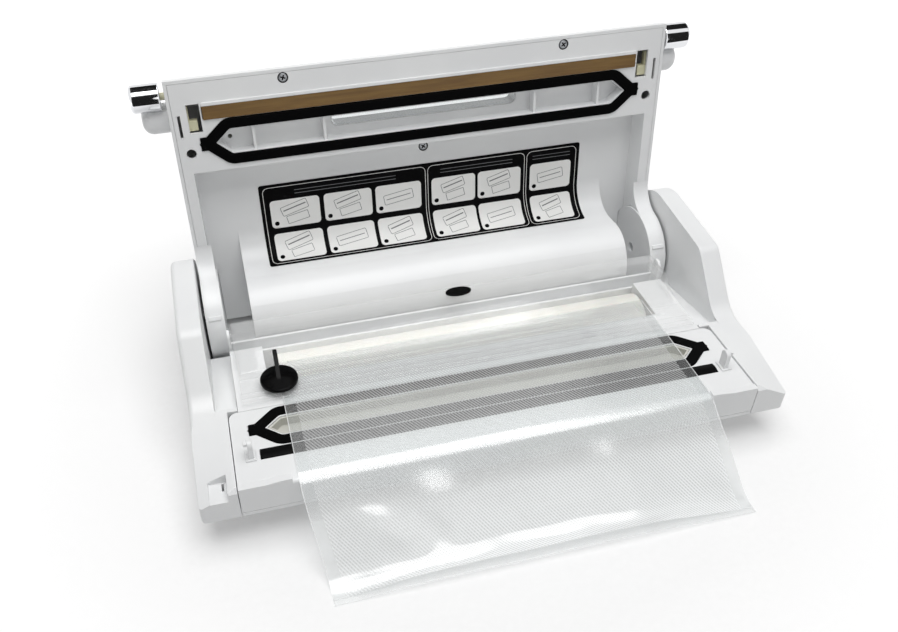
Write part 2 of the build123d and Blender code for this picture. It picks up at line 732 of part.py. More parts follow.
inner_side = offset(shell_side(), -wall - cover_gap)
room = across(inner_side, -lid_half + wall + cover_gap, lid_half - wall - cover_gap)
panel_back = hinge_y + 23.0
panel_front = lid_front_y + wall + cover_gap
works = void(wall, True, 0) - void(0, True, 0)
flat = void(wall, False, panel_back) - void(0, False, panel_back)
panel = across(works, -bulge_half, bulge_half)
panel -= slab(-half, half, -beyond, panel_front, -beyond, beyond)
panel -= slab(-half, half, hinge_y + bulge_r, beyond, -beyond, beyond)
cap = void(wall, False, hinge_y + bulge_r - wall) - void(0, True, 0)
side_plate = void(wall, False, panel_back)
rim_half = lid_half - wall - cover_gap
for s in (-1, 1):
    outer_x = s * (recess_half + wall)
    panel += across(flat, *sorted((s * bulge_half, outer_x))) - slab(-half, half, -beyond,
                                                                     panel_front, -beyond, beyond)
    cap_end = across(cap, *sorted((s * bulge_half, s * (bulge_half - wall))))
    panel += cap_end & (room + slab(-half, half, bulge_front_y - 30, hinge_y + bulge_r, 0, face_z + 4))
    plate = across(side_plate, *sorted((s * recess_half, outer_x)))
    panel += plate & slab(-half, half, block_end_y - wall, panel_back, face_z, beyond)
    panel += slab(*sorted((s * recess_half, s * rim_half)), panel_front, hinge_y, face_z, face_z + wall)
arm_space = rod_x(hinge_y, hinge_z, arm_r + fit_gap, arm_in - fit_gap, lid_half + 1)
for space in both_sides(arm_space):
    panel -= space
chamber_margin = -gasket_width / 2 - 0.8
chamber_top = face_z + chamber_depth
panel += long_ring(chamber_margin + wall, face_z, chamber_top + wall)
panel -= long_ring(chamber_margin, face_z - 1, chamber_top)
for x in chamber_rib_x:
    fin_wide = gasket_half_run + chamber_margin
    panel += slab(x - 1, x + 1, gasket_mid_y - fin_wide, gasket_mid_y + fin_wide, face_z + 1.5,
                  chamber_top + 0.1)
panel -= gasket(face_z - 1, face_z + gasket_seat, cover_gap)
rail_face = face_z - lid_face_gap + gasket_stand + 2 * film_gap + film_thick + tape_thick
rail_half = heater_half_length + 0.4
rail_wide = heater_width / 2 - 0.6
heater_top_y = seal_y - heater_width / 2 - cover_gap
panel += slab(-heater_half_length, heater_half_length, heater_top_y - heater_lip, heater_top_y,
              rail_face - tape_thick, face_z + wall / 2)
panel -= slab(-rail_half - cover_gap, rail_half + cover_gap, seal_y - rail_wide - cover_gap,
              seal_y + rail_wide + cover_gap, face_z - 1, face_z + wall + 1)
slot_in = catch_x - 2.0
slot_out = catch_x + catch_thick + catch_head + 1.2
for s in (-1, 1):
    panel -= slab(*sorted((s * slot_in, s * slot_out)), catch_y - 3, catch_y + latch_back + 1.0,
                  face_z - 1, face_z + wall + 1)
    panel -= slab(*sorted((s * (slot_out + 5), s * (slot_out + 7))), catch_y + 4, catch_y + 20,
                  face_z - 1, face_z + 2 * wall)
    panel -= rod_z(s * lid_hole_x, lid_hole_y, 3.5, face_z - 1, face_z + 2 * wall)
window_cut = slab(-window_half_length, window_half_length, window_y - window_width / 2,
                  window_y + window_width / 2, chamber_top - 1, beyond)
window_cut = fillet(window_cut.edges().filter_by(Axis.Z), window_width / 2 - 0.1)
panel -= window_cut
panel -= rod_z(suction_x, gasket_mid_y, nipple_bore_r, chamber_top - 1, chamber_top + 2 * wall)
for x, y, z in lid_screw_at:
    panel -= rod_z(x, y, lid_screw_r + screw_clear, z - 1, z + 2 * wall)
    panel -= rod_z(x, y, lid_screw_head_r + 0.6, z - 1, z + lid_screw_head)

# Cradle ribs for the works and bosses for the board, moulded on the panel
pump_x0 = -works_reach + 16
pump_x1 = pump_x0 + pump_length
motor_x0 = pump_x1 + fit_gap
motor_x1 = motor_x0 + motor_length
trafo_x0 = works_reach - works_end - transformer_length
trafo_x1 = trafo_x0 + transformer_length
pump = slab(pump_x0, pump_x1, works_y - pump_size / 2, works_y + pump_size / 2,
            works_z - pump_size / 2, works_z + pump_size / 2)
pump = chamfer(pump.edges().filter_by(Axis.X), 4.0)
motor = rod_x(works_y, works_z, motor_r, motor_x0, motor_x1)
trafo = slab(trafo_x0, trafo_x1, works_y - transformer_size / 2, works_y + transformer_size / 2,
             works_z - transformer_size / 2 + 3, works_z + transformer_size / 2)
trafo_wind = slab(trafo_x0 + 10, trafo_x1 - 10, works_y - transformer_size / 2 + 4,
                  works_y + transformer_size / 2 - 4,
                  works_z - transformer_size / 2 + 5, works_z + transformer_size / 2 + 5)
rib_face = outline(*Polyline(
    (bulge_front_y, 0), (hinge_y + bulge_r, 0), (hinge_y + bulge_r, works_z),
    (bulge_front_y, works_z), (bulge_front_y, 0),
).edges()) - void(wall - 0.1, True, 0)
seats = pump + motor + trafo
for x in (pump_x0 + 6, pump_x1 - 6, motor_x0 + 8, motor_x1 - 8, trafo_x0 + 6, trafo_x1 - 6):
    panel += across(rib_face, x - rib_thick / 2, x + rib_thick / 2) - seats
board_low = ceiling_z + wall + 3.4
board_high = board_low + board_thick
for x in (-board_half + 4, board_half - 4):
    for y in (board_front_y + 4, board_back_y - 4):
        panel += rod_z(x, y, 2.5, ceiling_z + wall - 0.1, board_low)
save("lid_inner_panel", opened(panel))

# Lid outer shell with lugs, button holes, window slot and screw bosses
shell = across(shell_side(), -lid_half, lid_half)
hollow_side = offset(shell_side(), -wall)
hollow = across(hollow_side, -lid_half + wall, lid_half - wall)
hollow += slab(-lid_half + wall, lid_half - wall, lid_front_y + wall, bulge_front_y, 0, face_z + wall + 0.1)
hollow += slab(-lid_half + wall, lid_half - wall, bulge_front_y, hinge_y + bulge_r + fit_gap - wall,
               0, hinge_z + 20)
lug = rod_x(lug_y, lug_z, lug_r, lid_half - 0.1, lid_half + lug_length)
lug = fillet(lug.edges().sort_by(Axis.X)[-1], lug_r * 0.7)
for piece in both_sides(lug):
    shell += piece
shell -= hollow
for s in (-1, 1):
    shell -= rod_x(knob_y, knob_z, knob_r + 0.4, *sorted((s * lid_half, s * (half + 40))))
    shell -= rod_x(knob_y, knob_z, knob_stem_r + fit_gap, *sorted((s * (lid_half - 2 * wall), s * half)))
    shell -= slab(*sorted((s * (arm_in - fit_gap), s * (half + 1))), hinge_y - 1, base_depth + 10,
                  0, hinge_z + 14)
for space in both_sides(arm_space):
    shell -= space
shell -= window_cut
button_hole = RectangleRounded(button_length + 2 * fit_gap, button_width + 2 * fit_gap,
                               button_round + fit_gap)
button_cut = Pos(0, button_y, ceiling_z) * extrude(button_hole, lid_back_z)
for x in (-button_x, button_x):
    shell -= Pos(x, 0, 0) * button_cut
shell -= rod_z(0, button_y, lens_r + pin_clearance, ceiling_z, lid_back_z + deck_z)
for x, y, z in lid_screw_at:
    boss = rod_z(x, y, lid_screw_r + 2.0, z + wall + cover_gap,
                 lid_back_z + deck_z) & across(shell_side(), -lid_half, lid_half)
    shell += boss
    shell -= rod_z(x, y, lid_screw_r + screw_clear, z, z + wall + lid_screw_length + 3)
save("lid_outer_shell", opened(shell))

screws = []
for x, y, z in lid_screw_at:
    screw = rod_z(x, y, lid_screw_head_r, z, z + lid_screw_head - 0.05)
    screw = fillet(screw.edges().group_by(Axis.Z)[0], 0.8)
    screws.append(opened(screw + rod_z(x, y, lid_screw_r, z + lid_screw_head - 0.1,
                                       z + wall + lid_screw_length)))
save("lid_screws", screws)

# Hinge arms: round ends of the lid that turn on the pins, ribbed on the face
arm = rod_x(hinge_y, hinge_z, arm_r, arm_in, lid_half)
arm -= rod_x(hinge_y, hinge_z, arm_r - wall, arm_in + wall, lid_half + 1)
arm += rod_x(hinge_y, hinge_z, hinge_pin_r + 4, arm_in, lid_half)
arm -= rod_x(hinge_y, hinge_z, hinge_pin_r + pin_clearance, arm_in - 1, lid_half + 1)
rib = slab(arm_in + 2, lid_half - 2, arm_r - 0.4, arm_r + arm_rib - 0.4, -1.5, 1.5)
arm += Pos(0, hinge_y, hinge_z) * Rot(244, 0, 0) * rib
neck_z = face_z - cover_gap
neck_mid = Vector(hinge_y - ((arm_r + neck_r) ** 2 - (hinge_z - neck_z + neck_r) ** 2) ** 0.5,
                  neck_z - neck_r)
hinge_at = Vector(hinge_y, hinge_z)
neck_top = Vector(neck_mid.X, neck_z)
neck_foot = hinge_at + (neck_mid - hinge_at).normalized() * arm_r
neck_bow = neck_mid + ((neck_top - neck_mid) + (neck_foot - neck_mid)).normalized() * neck_r
neck = outline(
    ThreePointArc(neck_top, neck_bow, neck_foot),
    *Polyline(neck_foot, (hinge_y - arm_r + wall, hinge_z), (hinge_y - arm_r + wall, neck_z),
              neck_top).edges(),
)
arm += across(neck, arm_in + neck_inset, lid_half)
for name, piece in zip(("right_arm", "left_arm"), both_sides(arm)):
    save(name, opened(piece))

# Window lens, from the vacuum chamber up through the shell
lens_block = window_cut & across(offset(shell_side(), -0.2), -lid_half, lid_half)
lens_block &= slab(-half, half, 0, base_depth, chamber_top, beyond)
lens = slab(-window_half_length + cover_gap, window_half_length - cover_gap,
            window_y - window_width / 2 + cover_gap,
            window_y + window_width / 2 - cover_gap, chamber_top, beyond)
lens = fillet(lens.edges().filter_by(Axis.Z), window_width / 2 - cover_gap - 0.1)
save("lid_window", opened(lens & lens_block))

save("upper_gasket", opened(gasket(face_z - gasket_stand - 0.2, face_z + gasket_seat)))

# Heater: rail, resistance wire and non-stick tape
rail = slab(-rail_half, rail_half, seal_y - rail_wide, seal_y + rail_wide, rail_face,
            face_z + heater_rail_height)
wire_half = 1.5
rail -= slab(-rail_half - 1, rail_half + 1, seal_y - wire_half - 0.05, seal_y + wire_half + 0.05,
             rail_face - 1, rail_face + wire_thick)
save("heater_rail", opened(rail))
wire = slab(-heater_half_length, heater_half_length, seal_y - wire_half, seal_y + wire_half,
            rail_face, rail_face + wire_thick)
save("heater_wire", opened(wire))
tape = slab(-heater_half_length, heater_half_length, seal_y - heater_width / 2, seal_y + heater_width / 2,
            rail_face - tape_thick, rail_face)
save("heater_tape", opened(tape))

# Instruction label, bent over the curve into the bulge
label = void(-0.02, True, 0) - void(-label_thick, True, 0)
label = across(label, -label_half, label_half) & slab(-half, half, label_top_y, bulge_front_y + 10,
                                                      face_z - 2.0, beyond)
save("instruction_label", opened(label))

# Release knobs, their latches and stems
knob = rod_x(knob_y, knob_z, knob_r, knob_in, knob_in + knob_length)
knob = fillet(knob.edges().sort_by(Axis.X)[-1], 3.0)
knob = fillet(knob.edges().sort_by(Axis.X)[0], 1.0)
stem_end = knob_in + knob_length * 0.6
knob -= rod_x(knob_y, knob_z, knob_stem_r + pin_clearance, knob_in - 1, stem_end + fit_gap)
tooth_in = catch_x + catch_thick + catch_head + latch_gap
latch_out = tooth_in + latch_reach
latch_low = face_z + wall + fit_gap
tooth_top = catch_top - catch_head_height - latch_gap
latch = slab(catch_x + 0.6, latch_out, catch_y + catch_width + 2.2, catch_y + latch_back, latch_low,
             tooth_top)
latch += slab(tooth_in, latch_out, catch_y - 1, catch_y + catch_width + 3, latch_low + 1, tooth_top)
latch += slab(latch_out - latch_wall, latch_out, knob_y - knob_stem_r, catch_y + latch_back,
              latch_low, knob_z)
latch += rod_x(knob_y, knob_z, knob_stem_r, latch_out - latch_wall, stem_end)
for side, turn in (("right", 0), ("left", 1)):
    save(f"{side}_release_knob", opened(both_sides(knob)[turn]))
    save(f"{side}_latch", opened(both_sides(latch)[turn]))

# Buttons and lamp on top of the lid
slope_z = face_z + lid_nose_rise + (lid_back_z - face_z - lid_nose_rise) * (
    (button_y - lid_front_y - lid_nose_depth) / (hinge_y - 4 - lid_front_y - lid_nose_depth))
cap_top = slope_z + button_stand
flange_top = slope_z - wall - 1.4
for name, x in (("vacuum_button", -button_x), ("seal_button", button_x)):
    face = RectangleRounded(button_length, button_width, button_round)
    cap = Pos(x, button_y, flange_top - 0.1) * extrude(face, cap_top - flange_top + 0.1)
    cap = fillet(cap.edges().group_by(Axis.Z)[-1], 1.2)
    rim = RectangleRounded(button_length + 2 * button_flange, button_width + 2 * button_flange,
                           button_round + 1.2)
    flange = Pos(x, button_y, flange_top - button_stand) * extrude(rim, button_stand)
    save(name, opened(cap + flange))
lamp = rod_z(0, button_y, lens_r, slope_z - wall - 2, slope_z + 0.6)
lamp += rod_z(0, button_y, lens_r - 0.6, board_high + 0.1, slope_z - wall - 2)
save("lamp_lens", opened(lamp))
board = slab(-board_half, board_half, board_front_y, board_back_y, board_low, board_high)
save("control_board", opened(board))
switches = []
for x in (-button_x, button_x):
    switch_top = flange_top - button_stand - button_travel - cover_gap
    switch = slab(x - switch_half, x + switch_half, button_y - switch_half, button_y + switch_half,
                  board_high, switch_top)
    switches.append(opened(switch))
save("button_switches", switches)

# Pump, motor, transformer and the hose to the vacuum chamber
save("pump_head", opened(pump))
save("pump_motor", opened(motor))
save("transformer", opened(trafo + trafo_wind))
nipple_top = chamber_top + wall + nipple_height
nipple = rod_z(suction_x, gasket_mid_y, hose_r - 0.9, chamber_top + wall, nipple_top)
nipple += rod_z(suction_x, gasket_mid_y, hose_r + 1.4, chamber_top + wall, chamber_top + wall + 2)
nipple -= rod_z(suction_x, gasket_mid_y, nipple_bore_r, chamber_top, nipple_top + 1)
save("hose_nipple", opened(nipple))
hose_high = ceiling_z + wall + hose_r + 1.0
pump_mid_x = (pump_x0 + pump_x1) / 2
hose_path = FilletPolyline(
    (suction_x, gasket_mid_y, chamber_top + wall + 2.2), (suction_x, gasket_mid_y, hose_high),
    (suction_x, works_y - pump_size, hose_high), (pump_mid_x, works_y, hose_high),
    (pump_mid_x, works_y, works_z + pump_size / 2),
    radius=[5.0, 14.0, 9.0],
)
hose = sweep(Plane(hose_path @ 0, z_dir=hose_path % 0) * Circle(hose_r), path=hose_path)
hose -= rod_z(suction_x, gasket_mid_y, hose_r - 0.85, chamber_top, nipple_top + 0.2)
save("vacuum_hose", opened(hose))

# Export, with the origin on the table under the middle of the outline
os.makedirs("parts", exist_ok=True)
box = Compound([solid for solids in pieces.values() for solid in solids]).bounding_box()
middle_y = (box.min.Y + box.max.Y) / 2
for name, solids in pieces.items():
    moved = [Pos(0, -middle_y, 0) * solid for solid in solids]
    export_step(moved[0] if len(moved) == 1 else Compound(moved), f"parts/{name}.step")
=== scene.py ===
import math

import bpy
from mathutils import Matrix, Vector
from mathutils.bvhtree import BVHTree


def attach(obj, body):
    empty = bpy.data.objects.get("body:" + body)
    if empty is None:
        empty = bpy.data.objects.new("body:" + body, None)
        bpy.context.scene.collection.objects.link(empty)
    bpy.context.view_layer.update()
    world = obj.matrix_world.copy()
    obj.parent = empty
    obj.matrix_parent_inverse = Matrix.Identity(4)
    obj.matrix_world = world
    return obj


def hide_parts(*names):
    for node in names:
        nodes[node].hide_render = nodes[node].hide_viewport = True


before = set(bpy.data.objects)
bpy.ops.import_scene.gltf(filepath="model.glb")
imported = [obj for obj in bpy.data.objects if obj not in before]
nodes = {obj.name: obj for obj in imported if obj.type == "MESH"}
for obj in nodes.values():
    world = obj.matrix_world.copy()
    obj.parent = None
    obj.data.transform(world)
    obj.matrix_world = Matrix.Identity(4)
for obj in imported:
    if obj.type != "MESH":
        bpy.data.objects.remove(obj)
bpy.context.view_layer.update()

# Lengths from front to back count from the drawing's zero, which lies this far in front of the frame's middle.
drawing_zero = 0.0892858
# Points closer than this are one point, in metres.
same_point = 0.00001
# A wave texture of this scale has its bands one metre apart.
wave_metre = 0.314159


# The studio: a pale paper sheet that the sealer stands on, a large soft box overhead and an even white surround.
# Small cards of black velvet in front of and above the two knobs, seen only in reflections, draw the dark bands that
# chrome shows.
def linear(code):
    """Linear colour of an sRGB hex value."""
    parts = [int(code[i:i + 2], 16) / 255 for i in (1, 3, 5)]
    return [c / 12.92 if c <= 0.04045 else ((c + 0.055) / 1.055) ** 2.4 for c in parts] + [1.0]


def add(tree, kind, settings=(), links=()):
    """Add a node, set its properties and plain inputs, and link its other inputs."""
    made = tree.nodes.new(kind)
    for name, value in dict(settings).items():
        if isinstance(name, str) and hasattr(made, name):
            setattr(made, name, value)
        else:
            made.inputs[name].default_value = value
    for name, output in dict(links).items():
        tree.links.new(output, made.inputs[name])
    return made


def new_material(name):
    """An empty node material with its output node."""
    material = bpy.data.materials.new(name)
    material.use_nodes = True
    material.node_tree.nodes.clear()
    return material, material.node_tree, add(material.node_tree, "ShaderNodeOutputMaterial")


def seen_ray(tree):
    """One for the rays that show the set itself: straight to the camera, through clear plastic or off a gloss."""
    path = add(tree, "ShaderNodeLightPath")
    straight = add(tree, "ShaderNodeMath", {"operation": "MAXIMUM"},
                   {0: path.outputs["Is Camera Ray"], 1: path.outputs["Is Transmission Ray"]})
    return add(tree, "ShaderNodeMath", {"operation": "MAXIMUM"},
               {0: straight.outputs[0], 1: path.outputs["Is Glossy Ray"]}).outputs[0]


scene = bpy.context.scene
scene.view_settings.view_transform = "Standard"
world = bpy.data.worlds.new("white_surround")
scene.world = world
world.use_nodes = True
tree = world.node_tree
tree.nodes.clear()
# The surround looks white, but lights the sealer only dimly, so that the soft box draws the shadows.
level = add(tree, "ShaderNodeMapRange", {"To Min": 0.26, "To Max": 1.0}, {"Value": seen_ray(tree)})
sky = add(tree, "ShaderNodeBackground", {"Color": linear("#FFFFFF")}, {"Strength": level.outputs[0]})
add(tree, "ShaderNodeOutputWorld", links={"Surface": sky.outputs[0]})

bpy.ops.object.select_all(action="DESELECT")
bpy.ops.mesh.primitive_plane_add(size=9, location=(0, 0, -0.0003))
floor = bpy.context.object
floor.name = "studio_floor"
# Matt seamless paper with a fine grain, glowing to plain white; near the sealer it glows less, as painted shade.
paper, tree, out = new_material("pale_seamless_paper")
grain = add(tree, "ShaderNodeTexNoise", {"Scale": 220.0, "Detail": 3.0},
            {"Vector": add(tree, "ShaderNodeTexCoord").outputs["Object"]})
tone = add(tree, "ShaderNodeValToRGB", links={"Fac": grain.outputs["Fac"]})
tone.color_ramp.elements[0].color = linear("#DCDCDC")
tone.color_ramp.elements[1].color = linear("#E2E2E2")
matt = add(tree, "ShaderNodeBsdfPrincipled", {"Roughness": 0.9, "Specular IOR Level": 0.1},
           {"Base Color": tone.outputs["Color"]})
painted_shade_falloff = add(tree, "ShaderNodeVectorMath", {"operation": "LENGTH"},
           {0: add(tree, "ShaderNodeTexCoord").outputs["Object"]})
# Painted shade: the paper's glow drops towards the sealer, deepening the shadow around it.
painted_shade_falloff = add(tree, "ShaderNodeMapRange", {"From Min": 0.20, "From Max": 1.20, "To Min": 0.22, "To Max": 1.10},
           {"Value": painted_shade_falloff.outputs["Value"]})
lift = add(tree, "ShaderNodeMath", {"operation": "MULTIPLY"}, {0: seen_ray(tree), 1: painted_shade_falloff.outputs[0]})
lift = add(tree, "ShaderNodeEmission", links={"Strength": lift.outputs[0]})
both = add(tree, "ShaderNodeAddShader", links={0: matt.outputs[0], 1: lift.outputs[0]})
tree.links.new(both.outputs[0], out.inputs["Surface"])
floor.data.materials.append(paper)

# Black velvet swallows nearly all light, and its nap leaves it a little uneven.
velvet, tree, out = new_material("black_velvet_card")
nap = add(tree, "ShaderNodeTexNoise", {"Scale": 60.0}, {"Vector": add(tree, "ShaderNodeTexCoord").outputs["Object"]})
nap = add(tree, "ShaderNodeValToRGB", links={"Fac": nap.outputs["Fac"]})
nap.color_ramp.elements[0].color = linear("#0A0A0A")
nap.color_ramp.elements[1].color = linear("#161616")
nap = add(tree, "ShaderNodeBsdfPrincipled", {"Roughness": 1.0}, {"Base Color": nap.outputs["Color"]})
tree.links.new(nap.outputs[0], out.inputs["Surface"])
for name, place, wide, deep, lean in (
    ("left_front_card", (-0.33, -0.20, 0.275), 0.30, 0.56, math.pi / 2),
    ("right_front_card", (0.52, -0.20, 0.275), 0.36, 0.56, math.pi / 2),
    ("left_upper_card", (-0.25, 0.25, 0.50), 0.20, 0.36, 0.0),
    ("right_upper_card", (0.41, 0.25, 0.50), 0.22, 0.36, 0.0),
):
    bpy.ops.object.select_all(action="DESELECT")
    bpy.ops.mesh.primitive_plane_add(size=1, location=place, rotation=(lean, 0, 0))
    card = bpy.context.object
    card.name = name
    card.scale = (wide, deep, 1)
    card.visible_camera = False
    card.visible_diffuse = False
    card.visible_shadow = False
    card.visible_transmission = False
    card.data.materials.append(velvet)

lamp_aim = Vector((0, 0, 0.08))
for name, place, size, power in (
    ("overhead_soft_box", (0.02, -0.14, 1.60), 1.4, 21.5),
    ("front_soft_box", (0.5, -1.8, 1.0), 1.2, 1.4),
):
    lamp = bpy.data.lights.new(name, "AREA")
    lamp.shape = "SQUARE"
    lamp.size = size
    lamp.energy = power
    box = bpy.data.objects.new(name, lamp)
    scene.collection.objects.link(box)
    box.location = place
    box.rotation_euler = (lamp_aim - Vector(place)).to_track_quat("-Z", "Y").to_euler()

lens = bpy.data.cameras.new("photo_camera")
lens.sensor_width = 36.0
lens.lens = 34.90
lens.shift_x = 0.0576
lens.shift_y = 0.0057
camera = bpy.data.objects.new("photo_camera", lens)
scene.collection.objects.link(camera)
camera_at = Matrix.Translation((-0.1557, -0.4476, 0.4704))
camera_turn = Matrix.Rotation(math.radians(-12.768), 4, "Z")
camera_dip = Matrix.Rotation(math.radians(90 - 39.888), 4, "X")
camera_roll = Matrix.Rotation(math.radians(-1.342), 4, "Z")
camera.matrix_world = camera_at @ camera_turn @ camera_dip @ camera_roll
scene.camera = camera


# Bottom cover, feet and screws: the moulded floor that closes the base from below, four rubber buttons pressed
# on to it, and the self-tapping screws that hold it to the cheeks.
def moulding(name, pale, deep, low, high, grain, relief, ior=1.5, specular=0.5, edge=0.0):
    """A moulded surface: colour that drifts a little with the flow, gloss from low to high roughness, and a grain of
    the given size in metres. The colour drifts over about 70 mm and the gloss over about 25 mm. An edge radius softens
    the corners."""
    material, tree, out = new_material(name)
    place = add(tree, "ShaderNodeTexCoord").outputs["Object"]
    flow = add(tree, "ShaderNodeTexNoise", {"Scale": 14.0, "Detail": 2.0}, {"Vector": place})
    tone = add(tree, "ShaderNodeValToRGB", links={"Fac": flow.outputs["Fac"]})
    tone.color_ramp.elements[0].position = 0.3
    tone.color_ramp.elements[0].color = linear(deep)
    tone.color_ramp.elements[1].position = 0.7
    tone.color_ramp.elements[1].color = linear(pale)
    gloss = add(tree, "ShaderNodeTexNoise", {"Scale": 40.0, "Detail": 4.0}, {"Vector": place})
    gloss = add(tree, "ShaderNodeMapRange", {"To Min": low, "To Max": high}, {"Value": gloss.outputs["Fac"]})
    grit = add(tree, "ShaderNodeTexNoise", {"Scale": 1.0 / grain, "Detail": 1.0}, {"Vector": place})
    grit = add(tree, "ShaderNodeBump", {"Strength": relief, "Distance": 0.0002}, {"Height": grit.outputs["Fac"]})
    if edge:
        tree.links.new(add(tree, "ShaderNodeBevel", {"Radius": edge}).outputs[0], grit.inputs["Normal"])
    body = add(tree, "ShaderNodeBsdfPrincipled", {"IOR": ior, "Specular IOR Level": specular},
               {"Base Color": tone.outputs["Color"], "Roughness": gloss.outputs[0], "Normal": grit.outputs[0]})
    tree.links.new(body.outputs[0], out.inputs["Surface"])
    return material


def metal(name, pale, deep, low, high, grain):
    """A plated or bare metal surface: a little cloudy in colour, with gloss from low to high roughness in fine specks
    of the given size in metres."""
    material, tree, out = new_material(name)
    place = add(tree, "ShaderNodeTexCoord").outputs["Object"]
    cloud = add(tree, "ShaderNodeTexNoise", {"Scale": 90.0, "Detail": 2.0}, {"Vector": place})
    tone = add(tree, "ShaderNodeValToRGB", links={"Fac": cloud.outputs["Fac"]})
    tone.color_ramp.elements[0].color = linear(deep)
    tone.color_ramp.elements[1].color = linear(pale)
    speck = add(tree, "ShaderNodeTexNoise", {"Scale": 1.0 / grain, "Detail": 2.0}, {"Vector": place})
    gloss = add(tree, "ShaderNodeMapRange", {"To Min": low, "To Max": high}, {"Value": speck.outputs["Fac"]})
    body = add(tree, "ShaderNodeBsdfPrincipled", {"Metallic": 1.0},
               {"Base Color": tone.outputs["Color"], "Roughness": gloss.outputs[0]})
    tree.links.new(body.outputs[0], out.inputs["Surface"])
    return material


def dress(node, material):
    """Give a node's own surface its finish."""
    nodes[node].data.materials.clear()
    nodes[node].data.materials.append(material)


# Faces that meet at less than smooth_angle look like one curve, and corners sharper than corner_angle are rounded. A
# rounded corner's points lie within stray_share of its width of the node's own surface.
smooth_angle = math.radians(36)
corner_angle = math.radians(38)
stray_share = 0.6


def eased(node, body, width, material, steps=2):
    """The node as it leaves the mould: a copy with its sharp corners rounded off by the given width. Where two
    roundings meet in a tight spot, their points go back on to the node's own surface."""
    piece = bpy.data.objects.new(node + "_moulding", nodes[node].data.copy())
    scene.collection.objects.link(piece)
    bpy.ops.object.select_all(action="DESELECT")
    piece.select_set(True)
    bpy.context.view_layer.objects.active = piece
    bpy.ops.mesh.customdata_custom_splitnormals_clear()
    bpy.ops.object.mode_set(mode="EDIT")
    bpy.ops.mesh.select_all(action="SELECT")
    bpy.ops.mesh.remove_doubles(threshold=same_point)
    bpy.ops.object.mode_set(mode="OBJECT")
    bpy.ops.object.shade_smooth_by_angle(angle=smooth_angle)
    rounded = piece.modifiers.new("rounded_corners", "BEVEL")
    rounded.width = width
    rounded.segments = steps
    rounded.limit_method = "ANGLE"
    rounded.angle_limit = corner_angle
    rounded.use_clamp_overlap = False
    rounded.loop_slide = False
    rounded.harden_normals = True
    bpy.ops.object.modifier_apply(modifier=rounded.name)
    source = nodes[node].data
    skin = BVHTree.FromPolygons([v.co for v in source.vertices], [face.vertices[:] for face in source.polygons])
    for v in piece.data.vertices:
        near, _, _, off = skin.find_nearest(v.co)
        if off > stray_share * width:
            v.co = near
    piece.data.materials.clear()
    piece.data.materials.append(material)
    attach(piece, body)
    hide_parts(node)


# White ABS from a finely eroded mould is satin and a little uneven in gloss. Its grain is about 0.1 mm and is drawn
# at 0.9 mm so that it shows.
white_abs = moulding("white_satin_ABS", "#EEEFEF", "#E8E9EA", 0.30, 0.40, 0.0009, 0.06, 1.53)
# Rubber is deep black with a faint soft shine along its edges. Its grain is drawn at 0.7 mm.
black_rubber = moulding("black_nitrile_rubber", "#0A0A0B", "#060606", 0.26, 0.38, 0.0007, 0.12, 1.5, 0.05)
# Zinc plate is bright but cloudy.
zinc = metal("zinc_plated_steel", "#C9CACC", "#AEB0B4", 0.22, 0.42, 0.0006)
dress("bottom_cover", white_abs)
dress("rubber_feet", black_rubber)
dress("base_screws", zinc)

# The two cheeks: the white side boxes of the base with a sloping front and a round-backed top, moulded in one piece
# each and screwed to the bottom cover from below.
eased("left_cheek", "base", 0.0003, white_abs)
eased("right_cheek", "base", 0.0003, white_abs)

# Cord gland and hinge pins: a rubber bush in the back of the right cheek, and two turned steel pins on which the lid
# swings.
dress("cord_gland", black_rubber)
# Ground steel is even and shines softly.
ground_steel = metal("ground_steel_pin", "#B4B5B8", "#A2A3A6", 0.18, 0.28, 0.0004)
dress("hinge_pins", ground_steel)

# Front deck and front bottom cover: the white table between the cheeks that carries the seal, and the tray under its
# front edge, clipped on from below.
eased("front_deck", "base", 0.0003, white_abs)
eased("front_bottom_cover", "base", 0.0005, white_abs)

# Drip tray: a loose grey-beige tray inside the gasket ring that catches liquid drawn out of the bag. It is moulded in
# ABS and lifts out.
# Grey-beige ABS is satin like the case, a little warmer and darker. Its grain is drawn at 0.8 mm.
tray_abs = moulding("stone_grey_ABS", "#CECDC6", "#C6C5BE", 0.32, 0.45, 0.0008, 0.08, 1.53)
eased("drip_tray", "base", 0.0005, tray_abs)

# Lower gasket and seal rubber: the ring that closes the vacuum channel is cut from closed-cell foam and pressed into
# a groove, and the bar in front of it is a solid silicone strip.
# Closed-cell foam is black and dull, with pores of about 0.3 mm in its skin, drawn at 0.6 mm.
black_foam = moulding("black_closed_cell_foam", "#080809", "#050505", 0.40, 0.55, 0.0006, 0.20, 1.5, 0.02)
eased("lower_gasket", "base", 0.0007, black_foam, 3)
eased("seal_rubber", "base", 0.0006, black_rubber, 3)

# The two catches: hooked posts beside the gasket that the lid's latches slide under. White acetal, pressed into the
# deck.
eased("left_catch", "base", 0.0003, white_abs)
eased("right_catch", "base", 0.0003, white_abs)

# Roll bay: the trough behind the deck in which the film roll lies, one white moulding with an end block at each side,
# screwed down between the cheeks.
eased("roll_bay", "base", 0.00024, white_abs)

# Film roll: some metres of embossed bag film wound on a cardboard core. The turns shift a little on the core, so the
# ends are stepped, and the many layers make the clear film look cream.
bpy.ops.object.select_all(action="DESELECT")
bpy.ops.mesh.primitive_circle_add(vertices=3, radius=0.001)
film_roll = bpy.context.object
film_roll.name = "wound_film_roll"
film_width = 0.283
film_middle = 0.002
roll_middle = Vector((film_middle, 0.112 - drawing_zero, 0.0298))
roll_radius = 0.0195
